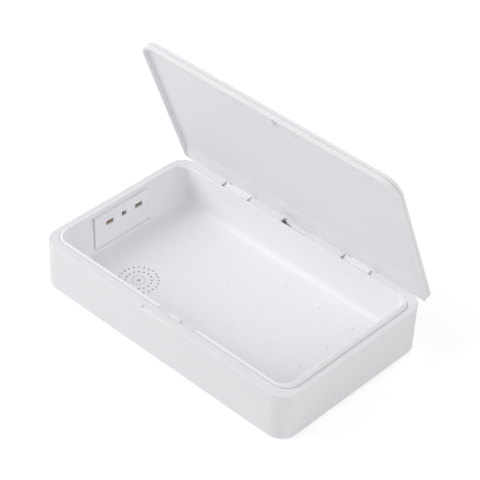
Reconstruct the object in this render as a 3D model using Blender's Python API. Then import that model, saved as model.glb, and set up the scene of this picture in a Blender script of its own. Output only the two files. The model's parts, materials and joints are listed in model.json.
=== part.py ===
"""Sanitizer box for a phone, with its lid open, built piece by piece.

Units are metres and +Z is up. +X runs along the hinge, +Y points to the hinge, and the
sockets are in the wall at -X. Pieces of the case are built about the middle of the case.
Pieces of the lid are built with the lid closed, about the hinge axis, and an empty on that
axis turns them open. At the end everything moves so that the origin is the middle of the
footprint of the open box, on the surface that the feet stand on.
"""
import math
from typing import NamedTuple

import bmesh
import bpy
from mathutils import Matrix

# Gaps and overruns that several pieces share
PIECE_GAP = 0.0003
OVERRUN = 0.003
ROOT = 0.0005
SMALLEST_RADIUS = 0.0002
CORNER_STEPS = 8
ROUND_STEPS = 24
SMALL_ROUND_STEPS = 12
SHARP_ANGLE = math.radians(35)

# Case
BASE_LENGTH = 0.250
BASE_DEPTH = 0.153
BASE_HEIGHT = 0.0405
CASE_CORNER = 0.015
CASE_DRAFT = 0.0006
CASE_WALL = 0.0020
DECK_THICK = 0.0020
DECK_EDGE = 0.0008
DECK_EDGE_STEPS = 2
DECK_SIDE = 0.0050
DECK_FRONT = 0.0076
DECK_BACK = 0.0069
OPENING_CORNER = 0.0133
BACK_CHAMFER = 0.0007
FOOT_STAND = 0.0008

# Finger scoop in the front edge
SCOOP_LENGTH = 0.0325
SCOOP_PLACE = -0.00025
SCOOP_REACH = 0.0035
SCOOP_DROP = 0.0023

# Tray
TRAY_CORNER = 0.011
LIP_SIDE = 0.0037
LIP_FRONT = 0.0016
RIM_BACK = 0.0025
LIP_HEIGHT = 0.0027
LIP_FRONT_HEIGHT = 0.0021
LIP_ROUND_SHARE = 0.73
LIP_TOP_SHARE = 0.85
RIM_ROUNDING = 0.0005
TRAY_WALL = 0.0015
TRAY_BOTTOM = 0.0018
TRAY_LEAN = 0.0020
TRAY_FLOOR = 0.0083
TRAY_FILLET = 0.0050
FLANGE_REACH = 0.0015
FLANGE_THICK = 0.0015
ROUNDING_STEPS = 4

# Rest nubs on the tray floor
NUB_RADIUS = 0.0015
NUB_HEIGHT = 0.0008
NUB_PITCH_X = 0.0335
NUB_PITCH_Y = 0.0295
NUB_COLUMNS = 6
NUB_ROWS = 4
NUB_TOP_SHARE = 0.8

# Round hole pattern in the tray floor, as ring radius, hole radius and hole count
GRILLE_X = -0.0658
GRILLE_Y = -0.0306
GRILLE_HOLE = 0.0014
GRILLE_RINGS = ((0.0051, 0.00065, 12), (0.0101, 0.0009, 16), (0.0152, 0.0009, 24))
GRILLE_STEPS = 8

# Gap in the front lip, and the catch in it
LIP_GAP_LEFT = -0.006
LIP_GAP_RIGHT = 0.031
CATCH_LENGTH = 0.0110
CATCH_PLACE = 0.0105
CATCH_DEPTH = 0.0036
CATCH_INWARD = 0.0006
CATCH_HEIGHT = 0.0021
CATCH_ROOT = 0.0040
CATCH_ROUNDING = 0.0004
BASE_MAGNET_SIZE = (0.0090, 0.0028, 0.0060)

# Socket panel and sockets in the left wall
PANEL_FRONT = -0.0306
PANEL_BACK = 0.0271
PANEL_BOTTOM = 0.0097
PANEL_TOP = 0.0390
PANEL_INWARD = 0.0027
PANEL_THICK = 0.0026
PANEL_BRIM = 0.0020
PANEL_BRIM_THICK = 0.0010
PANEL_BRIM_TOP = 0.0355
SOCKET_HEIGHT = 0.0295
SOCKET_MOUTH = (0.0078, 0.0042)
SOCKET_SIDE_PLACES = (("left", -0.0153), ("right", 0.0154))
SOCKET_MIDDLE_PLACE = -0.0003
SOCKET_MIDDLE_MOUTH = (0.0050, 0.0040)
SOCKET_BODY_WALL = 0.0010
SOCKET_BODY_DEPTH = 0.0044
SOCKET_BACK_WALL = 0.0008
TONGUE_SIZE = (0.0064, 0.0013)
TONGUE_LIFT = 0.0008
TONGUE_SETBACK = 0.0008
SOCKET_BOARD_SIZE = (0.0012, 0.0460, 0.0125)

# Bottom cover, feet, screws and their posts
COVER_THICK = 0.0020
FOOT_RADIUS = 0.0050
FOOT_SINK = 0.0005
FOOT_INSET_X = 0.0250
FOOT_INSET_Y = 0.0185
SCREW_INSET_X = 0.0300
SCREW_INSET_Y = 0.0060
SCREW_RADIUS = 0.0011
SCREW_LENGTH = 0.0065
SCREW_HEAD_RADIUS = 0.0020
SCREW_HEAD_HEIGHT = 0.0010
SCREW_SLOT = 0.0005
POST_RADIUS = 0.0024
POST_HEIGHT = 0.0100
RIB_THICK = 0.0016

# Scent pad and its cap under the hole pattern
PAD_RADIUS = 0.0150
PAD_THICK = 0.0030
CAP_RADIUS = 0.0165
CAP_COIN_SLOT = (0.0180, 0.0024, 0.0008)
WELL_WALL = 0.0012

# Boards and sensor inside the case
MAIN_BOARD_SIZE = (0.1100, 0.0700, 0.0014)
MAIN_BOARD_PLACE = (0.0350, 0.0050)
BOARD_POST_RADIUS = 0.0020
BOARD_POST_HEIGHT = 0.0008
BOARD_POST_INSET = 0.0050
LAMP_BOARD_SIZE = (0.1800, 0.0012, 0.0110)
LAMP_HEIGHT = 0.0235
LAMP_PITCH = 0.0480
LAMP_COUNT = 4
LAMP_SIZE = (0.0035, 0.0007, 0.0035)
WINDOW_RADIUS = 0.0026
WINDOW_THICK = 0.0012
SENSOR_SIZE = (0.0100, 0.0016, 0.0030)
SENSOR_PLACE = 0.0230

# Power inlet in the back wall
INLET_FROM_RIGHT = 0.0400
INLET_HEIGHT = 0.0140
INLET_MOUTH = (0.0086, 0.0030)
INLET_WALL = 0.0007
INLET_DEPTH = 0.0055
INLET_BACK_WALL = 0.0010
INLET_SETBACK = 0.0004
INLET_TONGUE = (0.0060, 0.0007, 0.0030)

# Hinge
HINGE_INSET = 0.0038
HINGE_BELOW_DECK = 0.0052
LID_OPEN = math.radians(68)
BLOCK_LENGTH = 0.0235
BLOCK_PLACE = 0.06175
BLOCK_DEPTH = 0.0063
BLOCK_BACK_INSET = 0.0003
BLOCK_TONGUE = 0.0075
LUG_SLOT = 0.0030
LUG_THICK = 0.0025
LUG_RADIUS = 0.0031
LUG_BACK = 0.0026
LUG_INTO_LID = 0.0012
PIN_RADIUS = 0.0012
PIN_CLEARANCE = 0.0002
PIN_SHORT = 0.0006

# Middle slot in the back strip and the lid stop in it
STRIP_SLOT_LEFT = -0.014
STRIP_SLOT_RIGHT = 0.013
STRIP_SLOT_BACK_WALL = 0.0012
STRIP_SLOT_DEPTH = 0.0100
STOP_THICK = 0.0016
STOP_BELOW_DECK = 0.0005
STOP_SLANT = 0.0075

# Lid
LID_INSET_SIDE = 0.0010
LID_INSET_FRONT = 0.0050
LID_INSET_BACK = 0.0070
LID_GAP = 0.0003
LID_CORNER = 0.0145
LID_BACK_CORNER = 0.0015
FRAME_HEIGHT = 0.0041
FRAME_RIM = 0.0025
FRAME_PANEL = 0.0010
FRAME_EDGE = 0.0004
FRAME_FILLET = 0.0008
COVER_HEIGHT = 0.0030
COVER_WALL = 0.0020
COVER_SKIN = 0.0012
COVER_ROUNDING = 0.0012

# Small shapes on the lid's inner panel
BOSS_PLACE = 0.0070
BOSS_FROM_FRONT = 0.0075
BOSS_RADIUS = 0.0020
BOSS_HEIGHT = 0.0020
LID_MAGNET_RADIUS = 0.0011
LID_MAGNET_LENGTH = 0.0020
MAGNET_CLEARANCE = 0.0003
MARK_PLACE = 0.0295
MARK_FROM_FRONT = 0.0085
MARK_SIZE = (0.0080, 0.0010, 0.0006)

# Power button on top of the lid
BUTTON_FROM_FRONT = 0.0200
BUTTON_RADIUS = 0.0054
BUTTON_STANDS = 0.0005
BUTTON_ROUNDING = 0.0005
BUTTON_FLANGE = 0.0011
BUTTON_FLANGE_THICK = 0.0005
BUTTON_CLEARANCE = 0.0004
RING_INNER = 0.0070
RING_WIDTH = 0.0010
RING_SINK = 0.0006
RING_STANDS = 0.0001
BUTTON_BOARD_SIZE = (0.0160, 0.0240, 0.0005)

# Places worked out from the sizes above
CASE_BOTTOM = FOOT_STAND
DECK_TOP = CASE_BOTTOM + BASE_HEIGHT
DECK_UNDER = DECK_TOP - DECK_THICK
CASE_RIGHT = BASE_LENGTH / 2
CASE_BACK = BASE_DEPTH / 2
INLET_PLACE = CASE_RIGHT - INLET_FROM_RIGHT
COVER_TOP = CASE_BOTTOM + COVER_THICK
FLOOR_TOP = CASE_BOTTOM + TRAY_FLOOR
HINGE_Y = CASE_BACK - HINGE_INSET
HINGE_Z = DECK_TOP - HINGE_BELOW_DECK
SLOT_BOTTOM = HINGE_Z - LUG_RADIUS - 2 * PIECE_GAP
RIM_PLANE = DECK_TOP + LID_GAP - HINGE_Z
PANEL_UNDER = RIM_PLANE + FRAME_HEIGHT - FRAME_PANEL
FRAME_TOP = RIM_PLANE + FRAME_HEIGHT
COVER_LOW = FRAME_TOP + PIECE_GAP
LID_TOP = COVER_LOW + COVER_HEIGHT
SKIN_UNDER = LID_TOP - COVER_SKIN
LID_FRONT = LID_INSET_FRONT - CASE_BACK - HINGE_Y
PANEL_FACE = -CASE_RIGHT + DECK_SIDE + PIECE_GAP + LIP_SIDE + PANEL_INWARD

# Turns that lay a turned piece along an axis
ALONG_Z = Matrix.Identity(4)
ALONG_X = Matrix.Rotation(math.radians(90), 4, "Y")
ALONG_Y = Matrix.Rotation(math.radians(-90), 4, "X")


class Finish(NamedTuple):
    """Colour, roughness and metallic value of one material."""

    name: str
    colour: tuple
    roughness: float
    metallic: float = 0.0


SHELL_WHITE = Finish("shell_white", (0.80, 0.80, 0.81), 0.45)
TRAY_WHITE = Finish("tray_white", (0.82, 0.82, 0.82), 0.40)
LID_WHITE = Finish("lid_white", (0.80, 0.80, 0.81), 0.45)
BLOCK_WHITE = Finish("block_white", (0.86, 0.86, 0.86), 0.40)
SOCKET_BLACK = Finish("socket_black", (0.02, 0.02, 0.02), 0.50)
TONGUE_BROWN = Finish("tongue_brown", (0.45, 0.32, 0.12), 0.45)
SOCKET_BLUE = Finish("socket_blue", (0.08, 0.11, 0.18), 0.45)
BOARD_GREEN = Finish("board_green", (0.03, 0.16, 0.07), 0.50)
STEEL = Finish("steel", (0.62, 0.62, 0.63), 0.30, 1.0)
RUBBER_GREY = Finish("rubber_grey", (0.20, 0.20, 0.21), 0.85)
PAD_WHITE = Finish("pad_white", (0.78, 0.76, 0.70), 0.95)
LAMP_YELLOW = Finish("lamp_yellow", (0.70, 0.55, 0.15), 0.40)
WINDOW_CLEAR = Finish("window_clear", (0.75, 0.80, 0.88), 0.10)
BUTTON_GREY = Finish("button_grey", (0.60, 0.61, 0.63), 0.40)
RING_CLEAR = Finish("ring_clear", (0.70, 0.78, 0.88), 0.30)


class Plan(NamedTuple):
    """A rounded rectangle seen from above."""

    left: float
    right: float
    front: float
    back: float
    front_radius: float
    back_radius: float


def grown(plan, amount):
    """The same plan with every side moved out by amount."""
    return Plan(
        plan.left - amount,
        plan.right + amount,
        plan.front - amount,
        plan.back + amount,
        max(plan.front_radius + amount, SMALLEST_RADIUS),
        max(plan.back_radius + amount, SMALLEST_RADIUS),
    )


def between(first, second, share):
    """The plan that lies at a share of the way from the first to the second."""
    return Plan(*(start + (end - start) * share for start, end in zip(first, second)))


def outline(plan):
    """Points round a plan, counter-clockwise, as many for every plan."""
    corners = (
        (plan.right, plan.back, -1, -1, plan.back_radius),
        (plan.left, plan.back, 1, -1, plan.back_radius),
        (plan.left, plan.front, 1, 1, plan.front_radius),
        (plan.right, plan.front, -1, 1, plan.front_radius),
    )
    points = []
    for quarter, (x, y, inward_x, inward_y, radius) in enumerate(corners):
        for step in range(CORNER_STEPS + 1):
            angle = math.pi / 2 * (quarter + step / CORNER_STEPS)
            points.append((
                x + radius * (inward_x + math.cos(angle)),
                y + radius * (inward_y + math.sin(angle)),
            ))
    return points


def material_for(finish):
    """The material of a finish, made once."""
    material = bpy.data.materials.get(finish.name)
    if material is None:
        material = bpy.data.materials.new(finish.name)
        material.use_nodes = True
        shader = material.node_tree.nodes["Principled BSDF"]
        shader.inputs["Base Color"].default_value = (*finish.colour, 1)
        shader.inputs["Roughness"].default_value = finish.roughness
        shader.inputs["Metallic"].default_value = finish.metallic
    return material


def finished(name, finish, bm):
    """Turn a bmesh into a named object with its finish."""
    bmesh.ops.recalc_face_normals(bm, faces=bm.faces)
    mesh = bpy.data.meshes.new(name)
    bm.to_mesh(mesh)
    bm.free()
    mesh.shade_smooth()
    mesh.set_sharp_from_angle(angle=SHARP_ANGLE)
    mesh.materials.append(material_for(finish))
    piece = bpy.data.objects.new(name, mesh)
    bpy.context.scene.collection.objects.link(piece)
    return piece


def skin(bm, loops, ring):
    """Faces between loops of points, closed into a ring or capped at both ends."""
    pairs = list(zip(loops, loops[1:]))
    if ring:
        pairs.append((loops[-1], loops[0]))
    for first, second in pairs:
        for index, point in enumerate(first):
            following = (index + 1) % len(first)
            bm.faces.new((point, first[following], second[following], second[index]))
    if not ring:
        bm.faces.new(list(reversed(loops[0])))
        bm.faces.new(loops[-1])


def lofted(name, finish, sections, ring=False):
    """A body through plans; a section is a plan with a height, or with a rule for it."""
    bm = bmesh.new()
    loops = []
    for plan, height in sections:
        rule = height if callable(height) else lambda x, y, level=height: level
        loops.append([bm.verts.new((x, y, rule(x, y))) for x, y in outline(plan)])
    skin(bm, loops, ring)
    return finished(name, finish, bm)


def turned_loops(bm, profile, place, steps):
    """Loops of points round an axis, one for each radius and height of a profile."""
    loops = []
    for radius, height in profile:
        loop = []
        for step in range(steps):
            angle = 2 * math.pi * step / steps
            point = bm.verts.new((radius * math.cos(angle), radius * math.sin(angle), height))
            point.co = place @ point.co
            loop.append(point)
        loops.append(loop)
    return loops


def turned(name, finish, profile, centre, turn=ALONG_Z, ring=False, steps=ROUND_STEPS):
    """A body of revolution from (radius, height) points, from its low end up."""
    bm = bmesh.new()
    place = Matrix.Translation(centre) @ turn
    skin(bm, turned_loops(bm, profile, place, steps), ring)
    return finished(name, finish, bm)


def rods(name, finish, places, low, high, steps):
    """Several upright rods in one object, each given as x, y and radius."""
    bm = bmesh.new()
    for x, y, radius in places:
        loops = turned_loops(bm, ((radius, low), (radius, high)), Matrix.Translation((x, y, 0)), steps)
        skin(bm, loops, False)
    return finished(name, finish, bm)


def block(name, finish, low, high, rounding=0):
    """A box between two corners, with its edges rounded where asked."""
    bm = bmesh.new()
    bmesh.ops.create_cube(bm, size=1)
    for vertex in bm.verts:
        shares = [value + 1 / 2 for value in vertex.co]
        vertex.co = [start + (end - start) * share for start, end, share in zip(low, high, shares)]
    if rounding:
        bmesh.ops.bevel(bm, geom=bm.edges[:], offset=rounding, segments=2, profile=0.5,
                        affect="EDGES", material=-1)
    return finished(name, finish, bm)


def centred_block(name, finish, centre, size, rounding=0):
    """A box of a size about a centre."""
    low = [middle - extent / 2 for middle, extent in zip(centre, size)]
    high = [middle + extent / 2 for middle, extent in zip(centre, size)]
    return block(name, finish, low, high, rounding)


def prism(name, finish, points, start, end):
    """An outline of (y, z) points drawn out along X."""
    bm = bmesh.new()
    loops = [[bm.verts.new((x, y, z)) for y, z in points] for x in (start, end)]
    skin(bm, loops, False)
    return finished(name, finish, bm)


def combined(piece, tool, operation):
    """Let a tool shape a piece, and keep the tool out of the object."""
    modifier = piece.modifiers.new(tool.name, "BOOLEAN")
    modifier.operation = operation
    modifier.solver = "EXACT"
    modifier.object = tool
    tool.hide_render = True
    tool.display_type = "WIRE"


def cut(piece, *tools):
    """Take tools away from a piece."""
    for tool in tools:
        combined(piece, tool, "DIFFERENCE")


def join(piece, *tools):
    """Make tools one body with a piece."""
    for tool in tools:
        combined(piece, tool, "UNION")


def carried(parent, *pieces):
    """Hang pieces, with the tools that shape them, on a parent."""
    for piece in pieces:
        piece.parent = parent
        for modifier in piece.modifiers:
            modifier.object.parent = parent


def slope_cutter(name, start, end, first, second):
    """A wedge over the line between two (y, z) points, both passed by the overrun."""
    reach = math.dist(first, second)
    along = [(b - a) / reach * OVERRUN for a, b in zip(first, second)]
    low = (first[0] - along[0], first[1] - along[1])
    high = (second[0] + along[0], second[1] + along[1])
    return prism(name, SHELL_WHITE, (low, high, (low[0], high[1])), start, end)


def case_plan():
    """Outer edge of the deck."""
    return Plan(-CASE_RIGHT, CASE_RIGHT, -CASE_BACK, CASE_BACK, CASE_CORNER, CASE_CORNER)


def opening_plan():
    """Edge of the opening in the deck."""
    return Plan(-CASE_RIGHT + DECK_SIDE, CASE_RIGHT - DECK_SIDE, -CASE_BACK + DECK_FRONT,
                CASE_BACK - DECK_BACK, OPENING_CORNER, OPENING_CORNER)


def lip_foot_plan():
    """Outer edge of the tray's lip, where it comes through the deck."""
    return grown(opening_plan(), -PIECE_GAP)


def tray_plan():
    """Inner edge of the tray at its top."""
    foot = lip_foot_plan()
    return Plan(foot.left + LIP_SIDE, foot.right - LIP_SIDE, foot.front + LIP_FRONT,
                foot.back - RIM_BACK, TRAY_CORNER, TRAY_CORNER)


def lean_at(height):
    """How far the tray's wall has leaned in at a height."""
    return TRAY_LEAN * (DECK_TOP - height) / (DECK_TOP - FLOOR_TOP)


def lip_top(x, y):
    """Height of the lip, lower along the front and fading into the deck at the back."""
    tray = tray_plan()
    back_share = min(max((y - tray.back + TRAY_CORNER) / TRAY_CORNER, 0), 1)
    front_share = min(max((tray.front + TRAY_CORNER - y) / TRAY_CORNER, 0), 1)
    height = LIP_HEIGHT + (LIP_FRONT_HEIGHT - LIP_HEIGHT) * front_share
    return DECK_TOP + height * (1 + math.cos(math.pi * back_share)) / 2


def lip_level(share):
    """Rule for the height of the lip at a share of its rise."""
    return lambda x, y: DECK_TOP + (lip_top(x, y) - DECK_TOP) * share


def screw_places():
    """Middle of each screw, in plan."""
    for x in (-CASE_RIGHT + SCREW_INSET_X, CASE_RIGHT - SCREW_INSET_X):
        for y in (-CASE_BACK + SCREW_INSET_Y, CASE_BACK - SCREW_INSET_Y):
            yield x, y


def foot_places():
    """Middle of each foot, in plan."""
    for x in (-CASE_RIGHT + FOOT_INSET_X, CASE_RIGHT - FOOT_INSET_X):
        for y in (-CASE_BACK + FOOT_INSET_Y, CASE_BACK - FOOT_INSET_Y):
            yield x, y


def lamp_places():
    """Middle of each lamp along the front wall."""
    for number in range(LAMP_COUNT):
        yield (number - (LAMP_COUNT - 1) / 2) * LAMP_PITCH


def sides():
    """The two ends of the hinge, with the middle of each block."""
    return (("left", -BLOCK_PLACE), ("right", BLOCK_PLACE))


def catch_box(gap):
    """Corners of the catch, grown by a gap."""
    tray = tray_plan()
    back = tray.front + CATCH_INWARD
    low = (CATCH_PLACE - CATCH_LENGTH / 2 - gap, back - CATCH_DEPTH - gap, DECK_TOP - CATCH_ROOT - gap)
    high = (CATCH_PLACE + CATCH_LENGTH / 2 + gap, back + gap, DECK_TOP + CATCH_HEIGHT + gap)
    return low, high


def build_case():
    """The outer case with its deck, posts, slots and scoop."""
    top = case_plan()
    bottom = grown(top, -CASE_DRAFT)
    opening = opening_plan()
    sections = [(bottom, CASE_BOTTOM)]
    for step in range(DECK_EDGE_STEPS + 1):
        angle = math.pi / 2 * step / DECK_EDGE_STEPS
        sections.append((grown(top, -DECK_EDGE * (1 - math.cos(angle))),
                         DECK_TOP - DECK_EDGE * (1 - math.sin(angle))))
    sections += [
        (opening, DECK_TOP),
        (opening, DECK_UNDER),
        (grown(top, -CASE_WALL), DECK_UNDER),
        (grown(bottom, -CASE_WALL), CASE_BOTTOM),
    ]
    case = lofted("base_shell", SHELL_WHITE, sections, ring=True)

    post_low = COVER_TOP + PIECE_GAP
    posts = rods("case_posts", SHELL_WHITE, [(x, y, POST_RADIUS) for x, y in screw_places()],
                 post_low, post_low + POST_HEIGHT, SMALL_ROUND_STEPS)
    join(case, posts)
    for number, (x, y) in enumerate(screw_places(), 1):
        wall = math.copysign(CASE_BACK - CASE_WALL + ROOT - CASE_DRAFT, y)
        rib = block(f"case_rib_{number}", SHELL_WHITE,
                    (x - RIB_THICK / 2, min(y, wall), post_low + ROOT),
                    (x + RIB_THICK / 2, max(y, wall), post_low + POST_HEIGHT - ROOT))
        join(case, rib)
    pilots = rods("case_pilots", SHELL_WHITE,
                  [(x, y, SCREW_RADIUS + PIECE_GAP / 2) for x, y in screw_places()],
                  post_low - OVERRUN, post_low + SCREW_LENGTH, SMALL_ROUND_STEPS)
    cut(case, pilots)

    scoop_left = SCOOP_PLACE - SCOOP_LENGTH / 2
    scoop = slope_cutter("case_scoop", scoop_left, scoop_left + SCOOP_LENGTH,
                         (-CASE_BACK, DECK_TOP - SCOOP_DROP), (-CASE_BACK + SCOOP_REACH, DECK_TOP))
    chamfer = slope_cutter("case_chamfer", -CASE_RIGHT, CASE_RIGHT,
                           (CASE_BACK, DECK_TOP - BACK_CHAMFER), (CASE_BACK - BACK_CHAMFER, DECK_TOP))
    cut(case, scoop, chamfer, block("case_catch_slot", SHELL_WHITE, *catch_box(PIECE_GAP)))

    strip_slot = block("case_strip_slot", SHELL_WHITE,
                       (STRIP_SLOT_LEFT, opening.back - OVERRUN, DECK_TOP - STRIP_SLOT_DEPTH),
                       (STRIP_SLOT_RIGHT, CASE_BACK - STRIP_SLOT_BACK_WALL, DECK_TOP + OVERRUN))
    cut(case, strip_slot)
    reach = BLOCK_LENGTH / 2 + LUG_SLOT + PIECE_GAP
    for side, place in sides():
        lug_slot = block(f"case_lug_slot_{side}", SHELL_WHITE,
                         (place - reach, opening.back - OVERRUN, SLOT_BOTTOM),
                         (place + reach, CASE_BACK + OVERRUN, DECK_TOP + OVERRUN))
        cut(case, lug_slot)

    mouth_x, mouth_z = INLET_MOUTH
    grow = INLET_WALL + PIECE_GAP
    inlet_hole = block("case_inlet_hole", SHELL_WHITE,
                       (INLET_PLACE - mouth_x / 2 - grow, CASE_BACK - CASE_WALL - OVERRUN,
                        INLET_HEIGHT - mouth_z / 2 - grow),
                       (INLET_PLACE + mouth_x / 2 + grow, CASE_BACK + OVERRUN,
                        INLET_HEIGHT + mouth_z / 2 + grow))
    cut(case, inlet_hole)


def build_tray():
    """The bath with its lip, nubs, hole pattern and windows."""
    foot = lip_foot_plan()
    top = tray_plan()
    flange = Plan(foot.left - FLANGE_REACH, foot.right + FLANGE_REACH, foot.front - FLANGE_REACH,
                  foot.back, foot.front_radius + FLANGE_REACH, foot.back_radius + FLANGE_REACH)
    flange_top = DECK_UNDER - PIECE_GAP
    flange_low = flange_top - FLANGE_THICK
    outer_radius = TRAY_FILLET + TRAY_WALL
    sections = []
    for step in range(ROUNDING_STEPS + 1):
        angle = math.pi / 2 * step / ROUNDING_STEPS
        height = FLOOR_TOP - TRAY_BOTTOM + outer_radius * (1 - math.cos(angle))
        inset = outer_radius * (1 - math.sin(angle))
        sections.append((grown(top, TRAY_WALL - lean_at(height) - inset), height))
    sections += [
        (grown(top, TRAY_WALL - lean_at(flange_low)), flange_low),
        (flange, flange_low),
        (flange, flange_top),
        (foot, flange_top),
    ]
    for step in range(ROUNDING_STEPS + 1):
        angle = math.pi / 2 * step / ROUNDING_STEPS
        plan = between(foot, top, LIP_ROUND_SHARE * (1 - math.cos(angle)))
        sections.append((plan, lip_level(math.sin(angle))))
    sections += [
        (between(foot, top, LIP_TOP_SHARE), lip_level(1)),
        (top, lambda x, y: lip_top(x, y) - RIM_ROUNDING),
    ]
    for step in range(ROUNDING_STEPS + 1):
        angle = math.pi / 2 * step / ROUNDING_STEPS
        height = FLOOR_TOP + TRAY_FILLET * (1 - math.sin(angle))
        inset = TRAY_FILLET * (1 - math.cos(angle))
        sections.append((grown(top, -lean_at(height) - inset), height))
    tray = lofted("tray", TRAY_WHITE, sections)

    nubs = bmesh.new()
    profile = ((NUB_RADIUS, -ROOT), (NUB_RADIUS, NUB_HEIGHT * NUB_TOP_SHARE),
               (NUB_RADIUS * NUB_TOP_SHARE, NUB_HEIGHT))
    for column in range(NUB_COLUMNS):
        for row in range(NUB_ROWS):
            x = (column - (NUB_COLUMNS - 1) / 2) * NUB_PITCH_X
            y = (row - (NUB_ROWS - 1) / 2) * NUB_PITCH_Y
            place = Matrix.Translation((x, y, FLOOR_TOP))
            skin(nubs, turned_loops(nubs, profile, place, SMALL_ROUND_STEPS), False)
    join(tray, finished("tray_nubs", TRAY_WHITE, nubs))

    holes = [(GRILLE_X, GRILLE_Y, GRILLE_HOLE)]
    for ring_radius, hole_radius, count in GRILLE_RINGS:
        for number in range(count):
            angle = 2 * math.pi * number / count
            holes.append((GRILLE_X + ring_radius * math.cos(angle),
                          GRILLE_Y + ring_radius * math.sin(angle), hole_radius))
    cut(tray, rods("tray_grille", TRAY_WHITE, holes, FLOOR_TOP - TRAY_BOTTOM - OVERRUN,
                   FLOOR_TOP + OVERRUN, GRILLE_STEPS))

    lip_gap = block("tray_lip_gap", TRAY_WHITE,
                    (LIP_GAP_LEFT, foot.front - OVERRUN, DECK_TOP),
                    (LIP_GAP_RIGHT, top.front + LIP_FRONT, DECK_TOP + LIP_HEIGHT + OVERRUN))
    cut(tray, lip_gap, block("tray_catch_slot", TRAY_WHITE, *catch_box(PIECE_GAP)))
    window = block("tray_panel_window", TRAY_WHITE,
                   (-CASE_RIGHT, PANEL_FRONT - PIECE_GAP, CASE_BOTTOM + PANEL_BOTTOM - PIECE_GAP),
                   (PANEL_FACE + OVERRUN, PANEL_BACK + PIECE_GAP, CASE_BOTTOM + PANEL_TOP + PIECE_GAP))
    cut(tray, window)

    for number, x in enumerate(lamp_places(), 1):
        hole = turned(f"tray_lamp_hole_{number}", TRAY_WHITE,
                      ((WINDOW_RADIUS + PIECE_GAP, -TRAY_WALL - OVERRUN),
                       (WINDOW_RADIUS + PIECE_GAP, TRAY_WALL + OVERRUN)),
                      (x, lamp_wall_middle(), CASE_BOTTOM + LAMP_HEIGHT), ALONG_Y)
        cut(tray, hole)


def lamp_wall_middle():
    """Middle of the tray's front wall at the height of the lamps."""
    return tray_plan().front + lean_at(CASE_BOTTOM + LAMP_HEIGHT) - TRAY_WALL / 2


def socket_body(name, finish, place, mouth, back_face):
    """A socket behind the panel: a box with a blind mouth."""
    width, height = mouth
    middle = CASE_BOTTOM + SOCKET_HEIGHT
    body = block(name, finish,
                 (back_face - SOCKET_BODY_DEPTH, place - width / 2 - SOCKET_BODY_WALL,
                  middle - height / 2 - SOCKET_BODY_WALL),
                 (back_face, place + width / 2 + SOCKET_BODY_WALL,
                  middle + height / 2 + SOCKET_BODY_WALL))
    hollow = block(f"{name}_mouth", finish,
                   (back_face - SOCKET_BODY_DEPTH + SOCKET_BACK_WALL, place - width / 2 + PIECE_GAP,
                    middle - height / 2 + PIECE_GAP),
                   (back_face + OVERRUN, place + width / 2 - PIECE_GAP,
                    middle + height / 2 - PIECE_GAP))
    cut(body, hollow)


def build_sockets():
    """The panel in the left wall, the sockets behind it and their board."""
    panel_back = PANEL_FACE - PANEL_THICK
    panel = block("socket_panel", TRAY_WHITE,
                  (panel_back, PANEL_FRONT, CASE_BOTTOM + PANEL_BOTTOM),
                  (PANEL_FACE, PANEL_BACK, CASE_BOTTOM + PANEL_TOP))
    wall_back = tray_plan().left - TRAY_WALL - PIECE_GAP
    brim = block("socket_panel_brim", TRAY_WHITE,
                 (wall_back - PANEL_BRIM_THICK, PANEL_FRONT - PANEL_BRIM,
                  CASE_BOTTOM + PANEL_BOTTOM + PANEL_BRIM),
                 (wall_back, PANEL_BACK + PANEL_BRIM, CASE_BOTTOM + PANEL_BRIM_TOP))
    neck = block("socket_panel_neck", TRAY_WHITE,
                 (wall_back - PANEL_BRIM_THICK, PANEL_FRONT, CASE_BOTTOM + PANEL_BOTTOM + PANEL_BRIM),
                 (panel_back + ROOT, PANEL_BACK, CASE_BOTTOM + PANEL_BRIM_TOP))
    join(panel, neck, brim)
    mouths = [(side, place, SOCKET_MOUTH) for side, place in SOCKET_SIDE_PLACES]
    mouths.append(("middle", SOCKET_MIDDLE_PLACE, SOCKET_MIDDLE_MOUTH))
    middle = CASE_BOTTOM + SOCKET_HEIGHT
    body_reach = SOCKET_BODY_WALL + PIECE_GAP
    for side, place, (width, height) in mouths:
        mouth = block(f"panel_mouth_{side}", TRAY_WHITE,
                      (panel_back - OVERRUN, place - width / 2, middle - height / 2),
                      (PANEL_FACE + OVERRUN, place + width / 2, middle + height / 2))
        pocket = block(f"panel_pocket_{side}", TRAY_WHITE,
                       (wall_back - PANEL_BRIM_THICK - OVERRUN, place - width / 2 - body_reach,
                        middle - height / 2 - body_reach),
                       (panel_back + PIECE_GAP, place + width / 2 + body_reach,
                        middle + height / 2 + body_reach))
        cut(panel, mouth, pocket)
    for side, place in SOCKET_SIDE_PLACES:
        socket_body(f"socket_{side}", SOCKET_BLACK, place, SOCKET_MOUTH, panel_back)
        width, height = TONGUE_SIZE
        low = middle + TONGUE_LIFT - height / 2
        inner = panel_back - SOCKET_BODY_DEPTH + SOCKET_BACK_WALL + PIECE_GAP
        block(f"tongue_{side}", TONGUE_BROWN, (inner, place - width / 2, low),
              (PANEL_FACE - TONGUE_SETBACK, place + width / 2, low + height))
    socket_body("socket_middle", SOCKET_BLUE, SOCKET_MIDDLE_PLACE, SOCKET_MIDDLE_MOUTH, panel_back)
    thick, length, height = SOCKET_BOARD_SIZE
    board_face = panel_back - SOCKET_BODY_DEPTH - PIECE_GAP
    block("socket_board", BOARD_GREEN,
          (board_face - thick, SOCKET_MIDDLE_PLACE - length / 2, middle - height / 2),
          (board_face, SOCKET_MIDDLE_PLACE + length / 2, middle + height / 2))


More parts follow.
